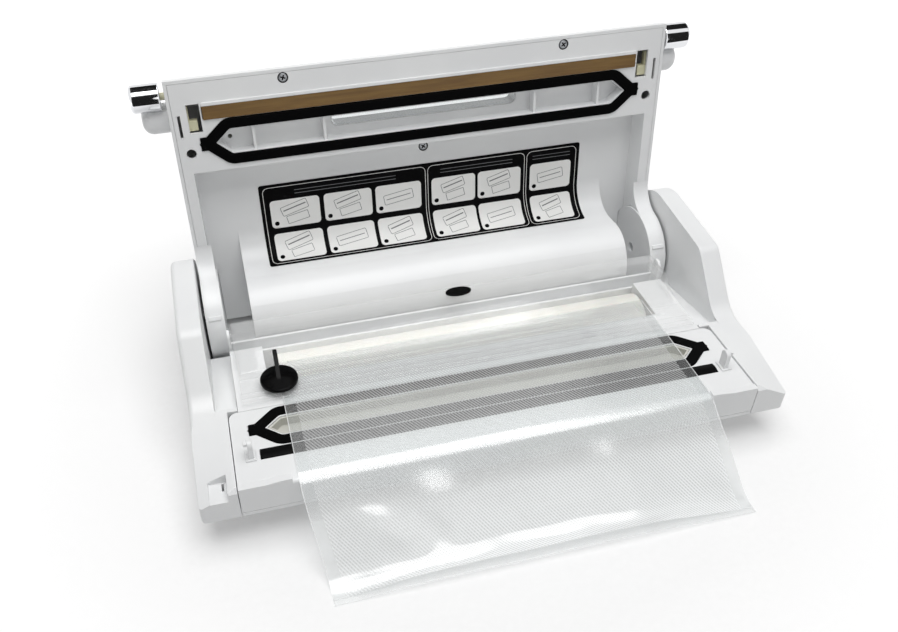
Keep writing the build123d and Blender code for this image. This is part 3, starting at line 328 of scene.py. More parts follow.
# The ends of the winding stay this far inside the film's width, and its outside bulges by bulge between them.
end_room = 0.0006
bulge = 0.00005
turns = []
for i, radius in enumerate((14.05, 14.6, 15.1, 15.6, 16.1, 16.6, 17.1, 17.6, 18.1, 18.6, 19.1, 19.5)):
    turns.append((radius / 1000, 0.0003 * math.sin(9.7 * i) + 0.0002 * math.sin(4.3 * i + 1)))
outline = [(-film_width / 2 + end_room + shift, radius) for radius, shift in turns]
outline += [(-0.07, roll_radius + bulge), (0.0, roll_radius), (0.08, roll_radius + bulge)]
outline += [(film_width / 2 - end_room + shift, radius) for radius, shift in reversed(turns)]
points = [Vector((x, 0, radius)) + roll_middle for x, radius in outline]
film_roll.data.clear_geometry()
film_roll.data.from_pydata(points, [(i, i + 1) for i in range(len(points) - 1)] + [(len(points) - 1, 0)], [])
film_roll.location = (0, 0, 0)
bpy.ops.object.mode_set(mode="EDIT")
bpy.ops.mesh.select_all(action="SELECT")
bpy.ops.mesh.spin(steps=96, angle=2 * math.pi, center=roll_middle, axis=(1, 0, 0))
bpy.ops.mesh.select_all(action="SELECT")
bpy.ops.mesh.remove_doubles(threshold=same_point)
bpy.ops.mesh.normals_make_consistent(inside=False)
bpy.ops.object.mode_set(mode="OBJECT")
bpy.ops.object.shade_smooth_by_angle(angle=math.radians(30))

# Wound polyamide and polythene film: cream through its depth, glossy, with the crossed ribs of the emboss. The ribs
# are about 1 mm apart and drawn at 1.9 mm, as on the bag.
rib_pitch = 0.0019
wound_film, tree, out = new_material("wound_embossed_film")
place = add(tree, "ShaderNodeSeparateXYZ", links={0: add(tree, "ShaderNodeTexCoord").outputs["Object"]})
y_off = add(tree, "ShaderNodeMath", {"operation": "SUBTRACT", 1: roll_middle.y}, {0: place.outputs["Y"]})
z_off = add(tree, "ShaderNodeMath", {"operation": "SUBTRACT", 1: roll_middle.z}, {0: place.outputs["Z"]})
round_way = add(tree, "ShaderNodeMath", {"operation": "ARCTAN2"}, {0: y_off.outputs[0], 1: z_off.outputs[0]})
round_way = add(tree, "ShaderNodeMath", {"operation": "MULTIPLY", 1: roll_radius}, {0: round_way.outputs[0]})
flat = add(tree, "ShaderNodeCombineXYZ", links={"X": place.outputs["X"], "Y": round_way.outputs[0]})
ribs = []
for lean in (35, -35):
    turned = add(tree, "ShaderNodeMapping", {"Rotation": (0, 0, math.radians(lean))}, {"Vector": flat.outputs[0]})
    ribs.append(add(tree, "ShaderNodeTexWave", {"Scale": wave_metre / rib_pitch}, {"Vector": turned.outputs[0]}))
crossed = add(tree, "ShaderNodeMath", {"operation": "MAXIMUM"},
              {0: ribs[0].outputs["Fac"], 1: ribs[1].outputs["Fac"]})
tone = add(tree, "ShaderNodeValToRGB", links={"Fac": crossed.outputs[0]})
tone.color_ramp.elements[0].position = 0.25
tone.color_ramp.elements[0].color = linear("#F0EEE2")
tone.color_ramp.elements[1].position = 0.95
tone.color_ramp.elements[1].color = linear("#FAF9F2")
relief = add(tree, "ShaderNodeBump", {"Strength": 0.12, "Distance": 0.0003}, {"Height": crossed.outputs[0]})
body = add(tree, "ShaderNodeBsdfPrincipled",
           {"Roughness": 0.28, "IOR": 1.5, "Subsurface Weight": 0.15, "Subsurface Scale": 0.002},
           {"Base Color": tone.outputs["Color"], "Normal": relief.outputs[0]})
tree.links.new(body.outputs[0], out.inputs["Surface"])
film_roll.data.materials.append(wound_film)
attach(film_roll, "roll")
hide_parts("film_roll")

# Roll core: a tube of brown board, wound and glued from strips of paper. The film is taped to it, and it lies loose in
# the trough, so that it turns with the roll.
# Grey-brown paper is matt and fibrous, with fibres of about 1 mm.
core_card = moulding("wound_core_board", "#A98D68", "#93795A", 0.80, 0.92, 0.0010, 0.5)
dress("roll_core", core_card)


# The bag: the film drawn off the roll, over the deck and down to the table. Two layers of clear film welded along both
# sides, the upper one embossed with crossed ribs that let the air out. The mouth at the front stands a little open.
def slope_in(value, start, end):
    """Smooth step from 0 at start to 1 at end."""
    share = min(1.0, max(0.0, (value - start) / (end - start)))
    return share * share * (3 - 2 * share)


film_length = 0.1898
# The embossed layer ends this much before the smooth one at the mouth.
mouth_step = 0.004
# Where the film leaves the roll, as front-to-back place and height, and its runs from there: length and bend downwards.
film_start = (0.109 - drawing_zero, 0.0498)
film_runs = (
    (0.10098, 0.0), (0.01162, 37.0), (0.02168, 0.0), (0.00968, 13.87), (0.02290, 0.0), (0.01920, -50.05),
    (0.00374, 0.0),
)
# Along the film, it comes to hang free past the deck's edge from free_from to free_at, and to lie on the table from
# table_from to table_at.
free_from, free_at = 0.112, 0.140
table_from, table_at = 0.165, 0.185
# The two layers keep this height above the table.
lower_height = 0.0004
upper_height = 0.0008


def film_place(across, along, upper):
    """A point of the bag: across from its middle, along from the roll, on the lower or the upper layer. Past the deck's
    edge the film hangs free and ripples, with a fold and a dent near its left side, and it calms on the table. Its
    mouth stands up in the middle and is held down by the welds at both sides."""
    y, z = film_start
    fall, left = 0.0, along
    for length, bend in film_runs:
        step = min(left, length)
        if bend:
            rate = math.radians(bend) / length
            y -= (math.sin(fall + rate * step) - math.sin(fall)) / rate
            z -= (math.cos(fall) - math.cos(fall + rate * step)) / rate
            fall += rate * step
        else:
            y -= step * math.cos(fall)
            z -= step * math.sin(fall)
        left -= step
    free = slope_in(along, free_from, free_at)
    rest = 1.0 - 0.7 * slope_in(along, table_from, table_at)
    wave = 0.0013 * math.sin(2 * math.pi * (across / 0.118 + 3.1 * along + 0.30))
    wave += 0.0007 * math.sin(2 * math.pi * (across / 0.057 - 6.0 * along + 0.10))
    fold_across = (across + 0.088 - 0.9 * (along - 0.155)) / 0.016
    fold_along = (along - 0.155) / 0.016
    wave += 0.0036 * math.exp(-fold_across ** 2 - fold_along ** 2)
    dent_across = (across + 0.072) / 0.014
    dent_along = (along - 0.160) / 0.010
    wave -= 0.0028 * math.exp(-dent_across ** 2 - dent_along ** 2)
    rise = free * rest * wave
    hem = 1.0 - (2 * across / film_width) ** 4
    rise += 0.0040 * slope_in(along, 0.155, film_length) * hem ** 2
    if upper:
        rise += 0.0002 + 0.0003 * hem + 0.0045 * slope_in(along, 0.140, film_length) * hem ** 2
    y -= math.sin(fall) * rise
    z += math.cos(fall) * rise
    swing = 0.008 * slope_in(along, 0.105, film_length)
    return Vector((film_middle + across + swing, y, max(z, upper_height if upper else lower_height)))


def film_layer(name, upper, length):
    """One layer of the bag, with a UV map in metres across and along the film."""
    bpy.ops.object.select_all(action="DESELECT")
    bpy.ops.mesh.primitive_grid_add(x_subdivisions=110, y_subdivisions=130, size=1)
    layer = bpy.context.object
    layer.name = name
    flat_way = layer.data.uv_layers.active or layer.data.uv_layers.new(name="film_metres")
    spots = [(v.co.x * film_width, (0.5 - v.co.y) * length) for v in layer.data.vertices]
    for loop in layer.data.loops:
        flat_way.data[loop.index].uv = spots[loop.vertex_index]
    for v, (across, along) in zip(layer.data.vertices, spots):
        v.co = film_place(across, along, upper)
    bpy.ops.object.shade_smooth()
    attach(layer, "base")
    return layer


def mirrored_share(tree, skin, head_on):
    """The share of light that a clear face mirrors, alike from both sides: the given share head on, and all of it
    edge on."""
    facing = add(tree, "ShaderNodeLayerWeight", {"Blend": 0.5}, {"Normal": skin})
    steep = add(tree, "ShaderNodeMath", {"operation": "POWER", 1: 5.0}, {0: facing.outputs["Facing"]})
    return add(tree, "ShaderNodeMapRange", {"To Min": head_on, "To Max": 1.0}, {"Value": steep.outputs[0]}).outputs[0]


# The side welds' width, and the width of the milky line that a cut edge shows at a side and at the mouth.
weld_width = 0.008
side_line = 0.0006
mouth_line = 0.0007
# A milky veil, painted sheen for the soft box mirrored in the hanging film, sets in along it from here to there.
painted_sheen_from, painted_sheen_at = 0.118, 0.145


def bag_film(name, haze, length):
    """Clear polyamide and polythene film: you see through it, it veils a little, and it shines in streaks. The haze is
    the least, the most on a rib, and what is added where the bag hangs free; that added milk is painted sheen, standing
    in for the soft box mirrored in the hanging film. The side welds are plain and clearer. The ribs are drawn at the
    pitch of those on the roll."""
    material, tree, out = new_material(name)
    flat = add(tree, "ShaderNodeTexCoord").outputs["UV"]
    ribs = []
    for lean in (32, -32):
        turned = add(tree, "ShaderNodeMapping", {"Rotation": (0, 0, math.radians(lean))}, {"Vector": flat})
        ribs.append(add(tree, "ShaderNodeTexWave", {"Scale": wave_metre / rib_pitch}, {"Vector": turned.outputs[0]}))
    faint = add(tree, "ShaderNodeMath", {"operation": "MULTIPLY", 1: 0.45}, {0: ribs[1].outputs["Fac"]})
    crossed = add(tree, "ShaderNodeMath", {"operation": "MAXIMUM"}, {0: ribs[0].outputs["Fac"], 1: faint.outputs[0]})
    spot = add(tree, "ShaderNodeSeparateXYZ", links={0: flat})
    side = add(tree, "ShaderNodeMath", {"operation": "ABSOLUTE"}, {0: spot.outputs["X"]})
    inside = add(tree, "ShaderNodeMath", {"operation": "LESS_THAN", 1: film_width / 2 - weld_width},
                 {0: side.outputs[0]})
    embossed = add(tree, "ShaderNodeMath", {"operation": "MULTIPLY"}, {0: crossed.outputs[0], 1: inside.outputs[0]})
    drift = add(tree, "ShaderNodeTexNoise", {"Scale": 15.0, "Detail": 1.0}, {"Vector": flat})
    skin = add(tree, "ShaderNodeBump", {"Strength": 0.20, "Distance": 0.004}, {"Height": drift.outputs["Fac"]})
    veil = add(tree, "ShaderNodeMapRange", {"To Min": haze[0], "To Max": haze[1]}, {"Value": embossed.outputs[0]})
    # Painted sheen: more white veil where the bag hangs free, standing in for the mirrored soft box.
    painted_sheen = add(tree, "ShaderNodeMapRange", {"From Min": painted_sheen_from, "From Max": painted_sheen_at},
                  {"Value": spot.outputs["Y"]})
    veil = add(tree, "ShaderNodeMath", {"operation": "MULTIPLY_ADD", 1: haze[2]},
               {0: painted_sheen.outputs[0], 2: veil.outputs[0]})
    at_side = add(tree, "ShaderNodeMath", {"operation": "GREATER_THAN", 1: film_width / 2 - side_line},
                  {0: side.outputs[0]})
    at_mouth = add(tree, "ShaderNodeMath", {"operation": "GREATER_THAN", 1: length - mouth_line},
                   {0: spot.outputs["Y"]})
    cut_edge = add(tree, "ShaderNodeMath", {"operation": "MAXIMUM"}, {0: at_side.outputs[0], 1: at_mouth.outputs[0]})
    cut_edge = add(tree, "ShaderNodeMath", {"operation": "MULTIPLY", 1: 0.55}, {0: cut_edge.outputs[0]})
    veil = add(tree, "ShaderNodeMath", {"operation": "MAXIMUM"}, {0: veil.outputs[0], 1: cut_edge.outputs[0]})
    clear = add(tree, "ShaderNodeBsdfTransparent", {"Color": linear("#FBFCFC")})
    lit = add(tree, "ShaderNodeBsdfDiffuse", {"Color": linear("#FDFEFE")})
    through = add(tree, "ShaderNodeBsdfTranslucent", {"Color": linear("#F6F8F8")})
    milk = add(tree, "ShaderNodeMixShader", {0: 0.20}, {1: lit.outputs[0], 2: through.outputs[0]})
    sheet = add(tree, "ShaderNodeMixShader", links={0: veil.outputs[0], 1: clear.outputs[0], 2: milk.outputs[0]})
    shine = add(tree, "ShaderNodeBsdfGlossy", {"Color": linear("#FFFFFF"), "Roughness": 0.16},
                {"Normal": skin.outputs[0]})
    film = add(tree, "ShaderNodeMixShader",
               links={0: mirrored_share(tree, skin.outputs[0], 0.075), 1: sheet.outputs[0], 2: shine.outputs[0]})
    tree.links.new(film.outputs[0], out.inputs["Surface"])
    return material


lower_layer = film_layer("bag_lower_layer", False, film_length)
lower_layer.data.materials.append(bag_film("smooth_bag_film", (0.04, 0.06, 0.20), film_length))
upper_layer = film_layer("bag_upper_layer", True, film_length - mouth_step)
upper_layer.data.materials.append(bag_film("embossed_bag_film", (0.08, 0.44, 0.30), film_length - mouth_step))
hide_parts("bag_film")

# Roll cover: a clear flap over the roll, moulded in polystyrene with thin ridges along its front strip and the slot
# that the cutter runs in. It snaps on to two pins of the roll bay.
# Clear polystyrene 2 mm thick: see-through with a slight veil, bright where light skims it and milky at its edges.
clear_styrene, tree, out = new_material("clear_polystyrene")
place = add(tree, "ShaderNodeTexCoord").outputs["Object"]
flow = add(tree, "ShaderNodeTexNoise", {"Scale": 25.0, "Detail": 2.0}, {"Vector": place})
skin = add(tree, "ShaderNodeBump", {"Strength": 0.05, "Distance": 0.0006}, {"Height": flow.outputs["Fac"]})
veil = add(tree, "ShaderNodeLayerWeight", {"Blend": 0.3})
veil = add(tree, "ShaderNodeMapRange", {"To Min": 0.06, "To Max": 0.26}, {"Value": veil.outputs["Facing"]})
clear = add(tree, "ShaderNodeBsdfTransparent", {"Color": linear("#FFFFFF")})
milk = add(tree, "ShaderNodeBsdfDiffuse", {"Color": linear("#F6F7F7")})
wall = add(tree, "ShaderNodeMixShader", links={0: veil.outputs[0], 1: clear.outputs[0], 2: milk.outputs[0]})
shine = add(tree, "ShaderNodeBsdfGlossy", {"Color": linear("#FFFFFF"), "Roughness": 0.06},
            {"Normal": skin.outputs[0]})
wall = add(tree, "ShaderNodeMixShader",
           links={0: mirrored_share(tree, skin.outputs[0], 0.04), 1: wall.outputs[0], 2: shine.outputs[0]})
tree.links.new(wall.outputs[0], out.inputs["Surface"])
eased("roll_cover", "clear_cover", 0.0003, clear_styrene)

# Cover pad and bag cutter: an oval rubber rest on the flap, and a black knob with a finger fin that carries a small
# steel blade along the slot.
eased("cover_pad", "clear_cover", 0.0005, black_rubber)
# Polished black ABS mirrors the lamps sharply and picks up fine scratches.
gloss_black = moulding("polished_black_ABS", "#080809", "#050505", 0.08, 0.15, 0.0009, 0.03, 1.53, 0.07)
eased("cutter_knob", "cutter", 0.00036, gloss_black, 3)
dress("cutter_blade", ground_steel)

# The lid: a white outer shell and two round hinge arms. Shell and arms are satin ABS mouldings, screwed together from
# inside.
# The same ABS as the base, from a mould whose corners are polished round by 0.4 mm, so that they catch the light.
lid_abs = moulding("white_satin_ABS_lid", "#EEEFEF", "#E8E9EA", 0.30, 0.40, 0.0009, 0.06, 1.53, edge=0.0004)
dress("lid_outer_shell", lid_abs)
eased("left_arm", "lid", 0.00036, white_abs)
eased("right_arm", "lid", 0.00036, white_abs)

# The works inside the lid: a small piston pump on its motor, a transformer, the control board with two key switches,
# and the hose from the chamber to the pump.
# Glass-filled nylon is dull black with pale fibres near the skin, drawn at 1.2 mm.
pump_nylon = moulding("glass_filled_nylon", "#2E2E30", "#242426", 0.48, 0.62, 0.0012, 0.3)
# Laminated core steel is blued and brushed by stamping.
core_steel = metal("blued_core_steel", "#7C7F86", "#63666D", 0.35, 0.5, 0.0008)
# Epoxy board under green lacquer shows the weave of its glass cloth, drawn at 1.5 mm.
board_green = moulding("lacquered_glass_board", "#1F5B3A", "#184C30", 0.25, 0.38, 0.0015, 0.2)
# Soft vinyl tube is milky and shiny, with a waviness of about 2 mm from the die.
hose_vinyl = moulding("soft_vinyl_tube", "#E2E4DF", "#D3D6D0", 0.18, 0.30, 0.0020, 0.1)
# Switch resin is plain black and satin, with a grain drawn at 0.8 mm.
switch_resin = moulding("black_switch_resin", "#1C1C1D", "#151516", 0.35, 0.48, 0.0008, 0.12)
dress("pump_head", pump_nylon)
dress("pump_motor", zinc)
dress("transformer", core_steel)
dress("control_board", board_green)
dress("button_switches", switch_resin)
dress("vacuum_hose", hose_vinyl)
dress("hose_nipple", tray_abs)

# Lid inner panel: the face that shows when the lid is open, one deep white moulding with the sealing block, the vacuum
# chamber, a wide recess and the rounded bulge above the roll.
dress("lid_inner_panel", lid_abs)

# Lid screws: three zinc pan-head screws with a cross recess that hold the inner panel to the shell. The head is
# modelled once, its recess cut by a crossed pair of bars and painted black as painted shade, and copied to the three
# places with a thin black ring round each, a painted shadow of the counterbore it sits in.
head_radius = 0.0032
head_height = 0.0011
cross_length = 0.0038
cross_width = 0.0010
# Pieces of the lid are drawn with the lid shut, and lid_open turns them about the hinge to where it stands open. The
# sealing block's face and the panel's face are at these heights when it is shut.
hinge_at = Matrix.Translation((0, 0.184 - drawing_zero, 0.0435))
lid_open = hinge_at @ Matrix.Rotation(math.radians(-97), 4, "X") @ hinge_at.inverted()
block_face = 0.0515
panel_face = 0.0708
bpy.ops.object.select_all(action="DESELECT")
bpy.ops.mesh.primitive_cylinder_add(vertices=40, radius=head_radius, depth=head_height)
screw_head = bpy.context.object
bpy.ops.object.mode_set(mode="EDIT")
bpy.ops.mesh.select_all(action="DESELECT")
bpy.ops.object.mode_set(mode="OBJECT")
for edge in screw_head.data.edges:
    edge.select = all(screw_head.data.vertices[i].co.z < -0.0005 for i in edge.vertices)
bpy.ops.object.mode_set(mode="EDIT")
bpy.ops.mesh.bevel(offset=0.0009, segments=5, affect="EDGES")
bpy.ops.object.mode_set(mode="OBJECT")
# Passivated zinc plate is grey and cloudy, and shines less than bare zinc.
screw_zinc = metal("passivated_zinc", "#9C9EA0", "#7E8084", 0.24, 0.40, 0.0005)
bars = []
for length, width in ((cross_length, cross_width), (cross_width, cross_length)):
    bpy.ops.object.select_all(action="DESELECT")
    bpy.ops.mesh.primitive_cube_add(size=1, location=(0, 0, -0.0006))
    bar = bpy.context.object
    bar.scale = (length, width, 0.0016)
    bpy.ops.object.transform_apply(location=True, rotation=True, scale=True)
    bars.append(bar)
for bar in bars:
    bpy.ops.object.select_all(action="DESELECT")
    screw_head.select_set(True)
    bpy.context.view_layer.objects.active = screw_head
    cut = screw_head.modifiers.new("cross_recess", "BOOLEAN")
    cut.operation = "DIFFERENCE"
    cut.solver = "EXACT"
    cut.object = bar
    bpy.ops.object.modifier_apply(modifier=cut.name)
    bpy.data.objects.remove(bar)
bpy.ops.object.shade_smooth_by_angle(angle=math.radians(40))
screw_head.data.materials.append(screw_zinc)
screw_head.data.materials.append(black_rubber)
# The faces of the cross recess take the black second finish: painted shade deep in the recess.
for face in screw_head.data.polygons:
    near_axis, far_axis = sorted((abs(face.center.x), abs(face.center.y)))
    in_cross = near_axis < cross_width / 2 + 0.00005 and far_axis < cross_length / 2 + 0.00005
    if in_cross and face.center.z > -0.0005:
        face.material_index = 1
# A thin black ring round each head: painted shadow of the counterbore it sits in.
bpy.ops.object.select_all(action="DESELECT")
bpy.ops.mesh.primitive_torus_add(major_radius=head_radius + 0.00025, minor_radius=0.00028, major_segments=40,
                                 minor_segments=8, location=(0, 0, -0.00015))
painted_shadow_ring = bpy.context.object
bpy.ops.object.transform_apply(location=True, rotation=True, scale=True)
bpy.ops.object.shade_smooth()
painted_shadow_ring.data.materials.append(black_rubber)
screw_places = ((-0.103, 0.0094, block_face, 20), (0.103, 0.0094, block_face, 55), (0.0, 0.0808, panel_face, 38))
for i, (x, y, z, twist) in enumerate(screw_places):
    head = bpy.data.objects.new(f"lid_screw_{i + 1}", screw_head.data.copy())
    scene.collection.objects.link(head)
    place = Matrix.Translation((x, y - drawing_zero, z + head_height / 2))
    place = place @ Matrix.Rotation(math.radians(twist), 4, "Z")
    head.data.transform(lid_open @ place)
    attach(head, "lid")
    ring = bpy.data.objects.new(f"lid_screw_washer_{i + 1}", painted_shadow_ring.data.copy())
    scene.collection.objects.link(ring)
    ring.data.transform(lid_open @ place)
    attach(ring, "lid")
bpy.data.objects.remove(screw_head)
bpy.data.objects.remove(painted_shadow_ring)
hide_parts("lid_screws")

# Inspection window: a thick strip of clear acrylic, moulded and snapped into the chamber's roof, that goes through the
# lid and shows any liquid in the chamber from outside.
# Acrylic with polished ends and frosted flanks: the white set shows through the ends, and the flanks are coloured mid
# grey, a painted shade of the deep pocket they line. The ends face along the lid's own normal, and a faint haze of flow
# lies in them.
clear_acrylic, tree, out = new_material("clear_acrylic")
place = add(tree, "ShaderNodeTexCoord").outputs["Object"]
flow = add(tree, "ShaderNodeTexNoise", {"Scale": 60.0}, {"Vector": place})
skin = add(tree, "ShaderNodeBump", {"Strength": 0.03, "Distance": 0.0005}, {"Height": flow.outputs["Fac"]})
lid_normal = lid_open.to_3x3() @ Vector((0, 0, 1))
end_on = add(tree, "ShaderNodeVectorMath", {"operation": "DOT_PRODUCT", 1: lid_normal},
             {0: add(tree, "ShaderNodeTexCoord").outputs["Normal"]})
end_on = add(tree, "ShaderNodeMath", {"operation": "ABSOLUTE"}, {0: end_on.outputs["Value"]})
haze = add(tree, "ShaderNodeMapRange", {"To Min": 0.04, "To Max": 0.10}, {"Value": flow.outputs["Fac"]})
veil = add(tree, "ShaderNodeMapRange", {"From Min": 0.5, "From Max": 0.9, "To Min": 0.85},
           {"Value": end_on.outputs[0], "To Max": haze.outputs[0]})
clear = add(tree, "ShaderNodeBsdfRefraction", {"Color": linear("#F6F8F8"), "IOR": 1.49, "Roughness": 0.0})
# Painted shade: the frosted flanks take a mid grey for the dim pocket around them.
milk = add(tree, "ShaderNodeBsdfDiffuse", {"Color": linear("#B6B8BA")})
pane = add(tree, "ShaderNodeMixShader", links={0: veil.outputs[0], 1: clear.outputs[0], 2: milk.outputs[0]})
shine = add(tree, "ShaderNodeBsdfGlossy", {"Color": linear("#FFFFFF"), "Roughness": 0.08},
            {"Normal": skin.outputs[0]})
pane = add(tree, "ShaderNodeMixShader",
           links={0: mirrored_share(tree, skin.outputs[0], 0.04), 1: pane.outputs[0], 2: shine.outputs[0]})
tree.links.new(pane.outputs[0], out.inputs["Surface"])
eased("lid_window", "lid", 0.0003, clear_acrylic)

# Upper gasket: the ring of the lid that meets the lower one and closes the vacuum channel with it. It is cut from the
# same closed-cell foam and pressed into its groove.
eased("upper_gasket", "lid", 0.0009, black_foam, 3)

# Heater: a flat wire on a heat-proof rail of phenolic resin, which is let into the sealing block. A strip of glass
# cloth, coated in brown non-stick resin, is stuck over it.
# Phenolic resin is dark and dull, with a grain drawn at 1 mm.
rail_resin = moulding("phenolic_rail_resin", "#4A3A2C", "#3F3126", 0.42, 0.55, 0.0010, 0.2)
# Heater wire is a nickel alloy, greyed by its own heat.
heater_wire = metal("oxidised_nickel_wire", "#8A8378", "#6F695F", 0.3, 0.45, 0.0005)
dress("heater_rail", rail_resin)
dress("heater_wire", heater_wire)
# Coated glass cloth is brown and slick, and the threads show through the coat as streaks along the strip. The thread
# spacing of 0.4 mm is drawn at 1.1 mm.
thread_pitch = 0.0011
glass_cloth, tree, out = new_material("coated_glass_cloth")
place = add(tree, "ShaderNodeTexCoord").outputs["Object"]
weft, warp = [
    add(tree, "ShaderNodeTexWave", {"bands_direction": way, "Scale": wave_metre / thread_pitch, "Distortion": 0.6},
        {"Vector": place})
    for way in ("X", "Z")
]
cloth = add(tree, "ShaderNodeMath", {"operation": "MULTIPLY"}, {0: weft.outputs["Fac"], 1: warp.outputs["Fac"]})
stretched = add(tree, "ShaderNodeMapping", {"Scale": (0.06, 1, 1)}, {"Vector": place})
streak = add(tree, "ShaderNodeTexNoise", {"Scale": 420.0, "Detail": 3.0}, {"Vector": stretched.outputs[0]})
tone = add(tree, "ShaderNodeValToRGB", links={"Fac": streak.outputs["Fac"]})
tone.color_ramp.elements[0].position = 0.3
tone.color_ramp.elements[0].color = linear("#6A4E28")
tone.color_ramp.elements[1].position = 0.72
tone.color_ramp.elements[1].color = linear("#7E6132")
slick = add(tree, "ShaderNodeMapRange", {"To Min": 0.30, "To Max": 0.46}, {"Value": cloth.outputs[0]})
relief = add(tree, "ShaderNodeBump", {"Strength": 0.25, "Distance": 0.0002}, {"Height": cloth.outputs[0]})
body = add(tree, "ShaderNodeBsdfPrincipled", {"IOR": 1.38},
           {"Base Color": tone.outputs["Color"], "Roughness": slick.outputs[0], "Normal": relief.outputs[0]})
tree.links.new(body.outputs[0], out.inputs["Surface"])
eased("heater_tape", "lid", 0.0002, glass_cloth)


# Instruction label: a black polyester sticker that follows the recess down into the bend above the roll. Its print is
# plain: three rounded frames, white panels in two rows, and simple outlines of a box and a bag.
# The label starts at label_top, lies flat on the panel for label_flat and then follows a bend of label_bend radius.
label_top = 0.095
label_flat = 0.034
label_bend = 0.025
label_width = 0.260
label_height = 0.0696
# Heights above the panel of the film, of the white print on it, and of what is printed on the white.
film_level = 0.00025
white_level = 0.00028
mark_level = 0.00031


def label_place(across, down, height):
    """A point on the label at the given height above the panel: across from its middle, down from its upper edge."""
    bend = (down - label_flat) / label_bend
    if bend < 0:
        y, z = label_top + down, panel_face - height
    else:
        y = label_top + label_flat + (label_bend - height) * math.sin(bend)
        z = panel_face - label_bend + (label_bend - height) * math.cos(bend)
    return lid_open @ Vector((across, y - drawing_zero, z))


def lay_on_label(piece, height, material):
    """Bend a flat piece, drawn across and down in metres, on to the label, and let it ride on the lid."""
    for v in piece.data.vertices:
        v.co = label_place(v.co.x, -v.co.y, height)
    bpy.ops.object.select_all(action="DESELECT")
    piece.select_set(True)
    bpy.context.view_layer.objects.active = piece
    bpy.ops.object.shade_smooth()
    piece.data.materials.append(material)
    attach(piece, "lid")


def panel(name, left, top, width, height, corner, line=0.0, lean=0.0):
    """A flat rounded rectangle of the print, or only its outline of the given line width, leaning by some degrees."""
    bpy.ops.object.select_all(action="DESELECT")
    middle = (left + width / 2, -top - height / 2, 0)
    bpy.ops.mesh.primitive_plane_add(size=1, location=middle, rotation=(0, 0, math.radians(lean)))
    made = bpy.context.object
    made.name = name
    made.scale = (width, height, 1)
    bpy.ops.object.transform_apply(location=True, rotation=True, scale=True)
    bpy.ops.object.mode_set(mode="EDIT")
    bpy.ops.mesh.select_all(action="SELECT")
    bpy.ops.mesh.bevel(offset=corner, segments=5, affect="VERTICES")
    if line:
        bpy.ops.mesh.select_all(action="SELECT")
        bpy.ops.mesh.inset(thickness=line, depth=0)
        bpy.ops.mesh.delete(type="FACE")
    bpy.ops.object.mode_set(mode="OBJECT")
    return made


# The print is cut into strips of this width so that it can bend.
strip = 0.0025


def print_of(name, shapes):
    """Join flat shapes to one print, and cut it into strips."""
    bpy.ops.object.select_all(action="DESELECT")
    for shape in shapes:
        shape.select_set(True)
    bpy.context.view_layer.objects.active = shapes[0]
    bpy.ops.object.join()
    made = bpy.context.object
    made.name = name
    bpy.ops.object.mode_set(mode="EDIT")
    for i in range(1, math.ceil(label_height / strip)):
        bpy.ops.mesh.select_all(action="SELECT")
        bpy.ops.mesh.bisect(plane_co=(0, -strip * i, 0), plane_no=(0, 1, 0))
    bpy.ops.object.mode_set(mode="OBJECT")
    return made


# Black polyester film has an even shine with a slight orange-peel.
label_film = moulding("black_polyester_film", "#0A0A0B", "#060607", 0.32, 0.42, 0.0015, 0.05, 1.5, 0.03)
# White screen ink lies dull on the film.
white_ink = moulding("white_screen_ink", "#F4F4F2", "#ECECEA", 0.42, 0.52, 0.0008, 0.08)
# Grey screen ink for the outlines.
grey_ink = moulding("grey_screen_ink", "#6E7072", "#626466", 0.42, 0.52, 0.0008, 0.08)
sheet = print_of("instruction_sticker", [panel("sticker", -label_width / 2, 0.0, label_width, label_height, 0.002)])
lay_on_label(sheet, film_level, label_film)
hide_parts("instruction_label")
# The three frames and the six columns of tiles, as left edge and width, and the tops of the two rows.
frame_columns = ((-0.1274, 0.1284), (0.0026, 0.0808), (0.0850, 0.0424))
tile_columns = (
    (-0.1230, 0.0385), (-0.0810, 0.0380), (-0.0400, 0.0370), (0.0056, 0.0362), (0.0440, 0.0362), (0.0882, 0.0350),
)
tile_rows = (0.0137, 0.0415)
fine_line = 0.0004
frames = [panel("frame", left, 0.0024, wide, 0.0648, 0.0045, fine_line) for left, wide in frame_columns]
tiles = [panel("tile", left, top, wide, 0.0232, 0.0030) for left, wide in tile_columns for top in tile_rows]
lay_on_label(print_of("white_print", frames + tiles), white_level, white_ink)
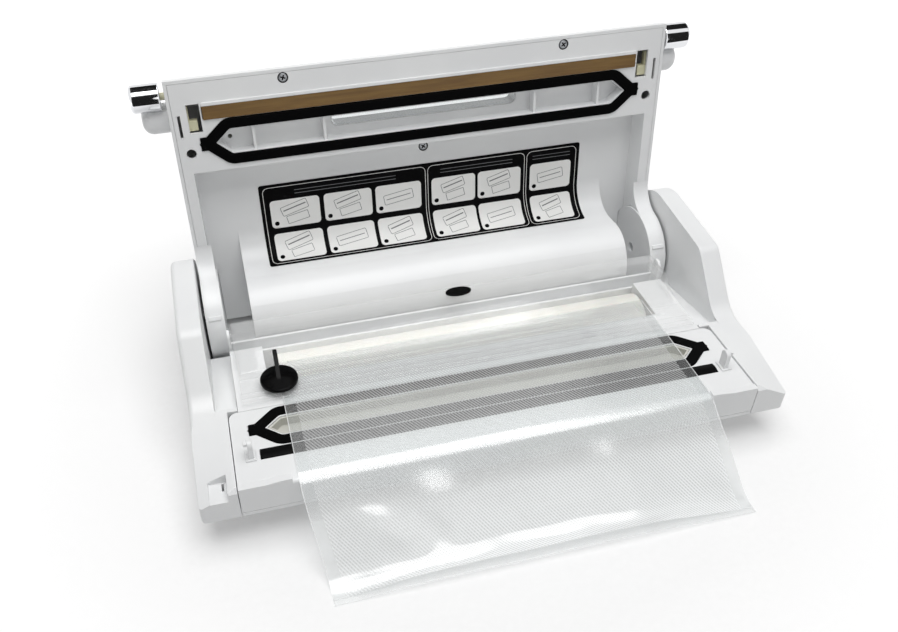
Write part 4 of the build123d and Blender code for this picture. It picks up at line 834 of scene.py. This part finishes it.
# Two rules head each frame, given as its middle and their length.
marks = [panel("rule", middle - long / 2, top, long, 0.0005, 0.0002)
         for middle, long in ((-0.063, 0.080), (0.043, 0.060), (0.106, 0.032)) for top in (0.0065, 0.0092)]
dots = []
for i, (left, wide) in enumerate(tile_columns):
    for j, top in enumerate(tile_rows):
        if (i + j) % 3 == 2:
            marks += [
                panel("bag_outline", left + 0.0065, top + 0.0070, wide - 0.0130, 0.0085, 0.0012, fine_line, 9),
                panel("bag_seal", left + 0.0085, top + 0.0108, wide - 0.0170, 0.0006, 0.0002, 0.0, 9),
            ]
        else:
            marks += [
                panel("box_outline", left + 0.0080, top + 0.0035, wide - 0.0170, 0.0080, 0.0012, fine_line, 16),
                panel("box_edge", left + 0.0095, top + 0.0066, wide - 0.0200, 0.0009, 0.0003, 0.0, 16),
                panel("bag_outline", left + 0.0120, top + 0.0125, wide - 0.0210, 0.0068, 0.0005, fine_line, 12),
            ]
        dots.append(panel("corner_dot", left + 0.0022, top + 0.0175, 0.0036, 0.0036, 0.0017))
lay_on_label(print_of("grey_print", marks), mark_level, grey_ink)
lay_on_label(print_of("black_dots", dots), mark_level, label_film)

# Release knobs and latches: two chromed knobs at the lid's ends, each on a cream acetal slide whose tooth goes under
# the catch.
# Chrome over polished ABS is a mirror with the slightest haze.
chrome = metal("bright_chrome_plate", "#E9EAEC", "#E2E3E6", 0.03, 0.07, 0.0010)
# Acetal is waxy and a little yellow.
cream_acetal = moulding("cream_acetal", "#D6D3B4", "#CBC8A8", 0.30, 0.42, 0.0009, 0.08)
for side in ("left", "right"):
    eased(side + "_release_knob", side + "_release", 0.0008, chrome, 4)
    eased(side + "_latch", side + "_release", 0.00024, cream_acetal)

# Keys and lamp lens: two grey-white press keys and a small red lens on the lid's top face. The keys are ABS mouldings
# that slide in their openings, and the lens is acrylic, pressed in.
# Key plastic is a fine matt moulding, with a grain drawn at 0.7 mm.
key_abs = moulding("matt_key_ABS", "#D4D6D8", "#CCCED0", 0.42, 0.55, 0.0007, 0.15)
eased("vacuum_button", "vacuum_key", 0.0005, key_abs)
eased("seal_button", "seal_key", 0.0005, key_abs)
# Tinted acrylic is clear red and glossy, and unlit here.
lamp_red = moulding("tinted_lamp_acrylic", "#A8352C", "#982C25", 0.08, 0.15, 0.0020, 0.05, 1.49)
dress("lamp_lens", lamp_red)
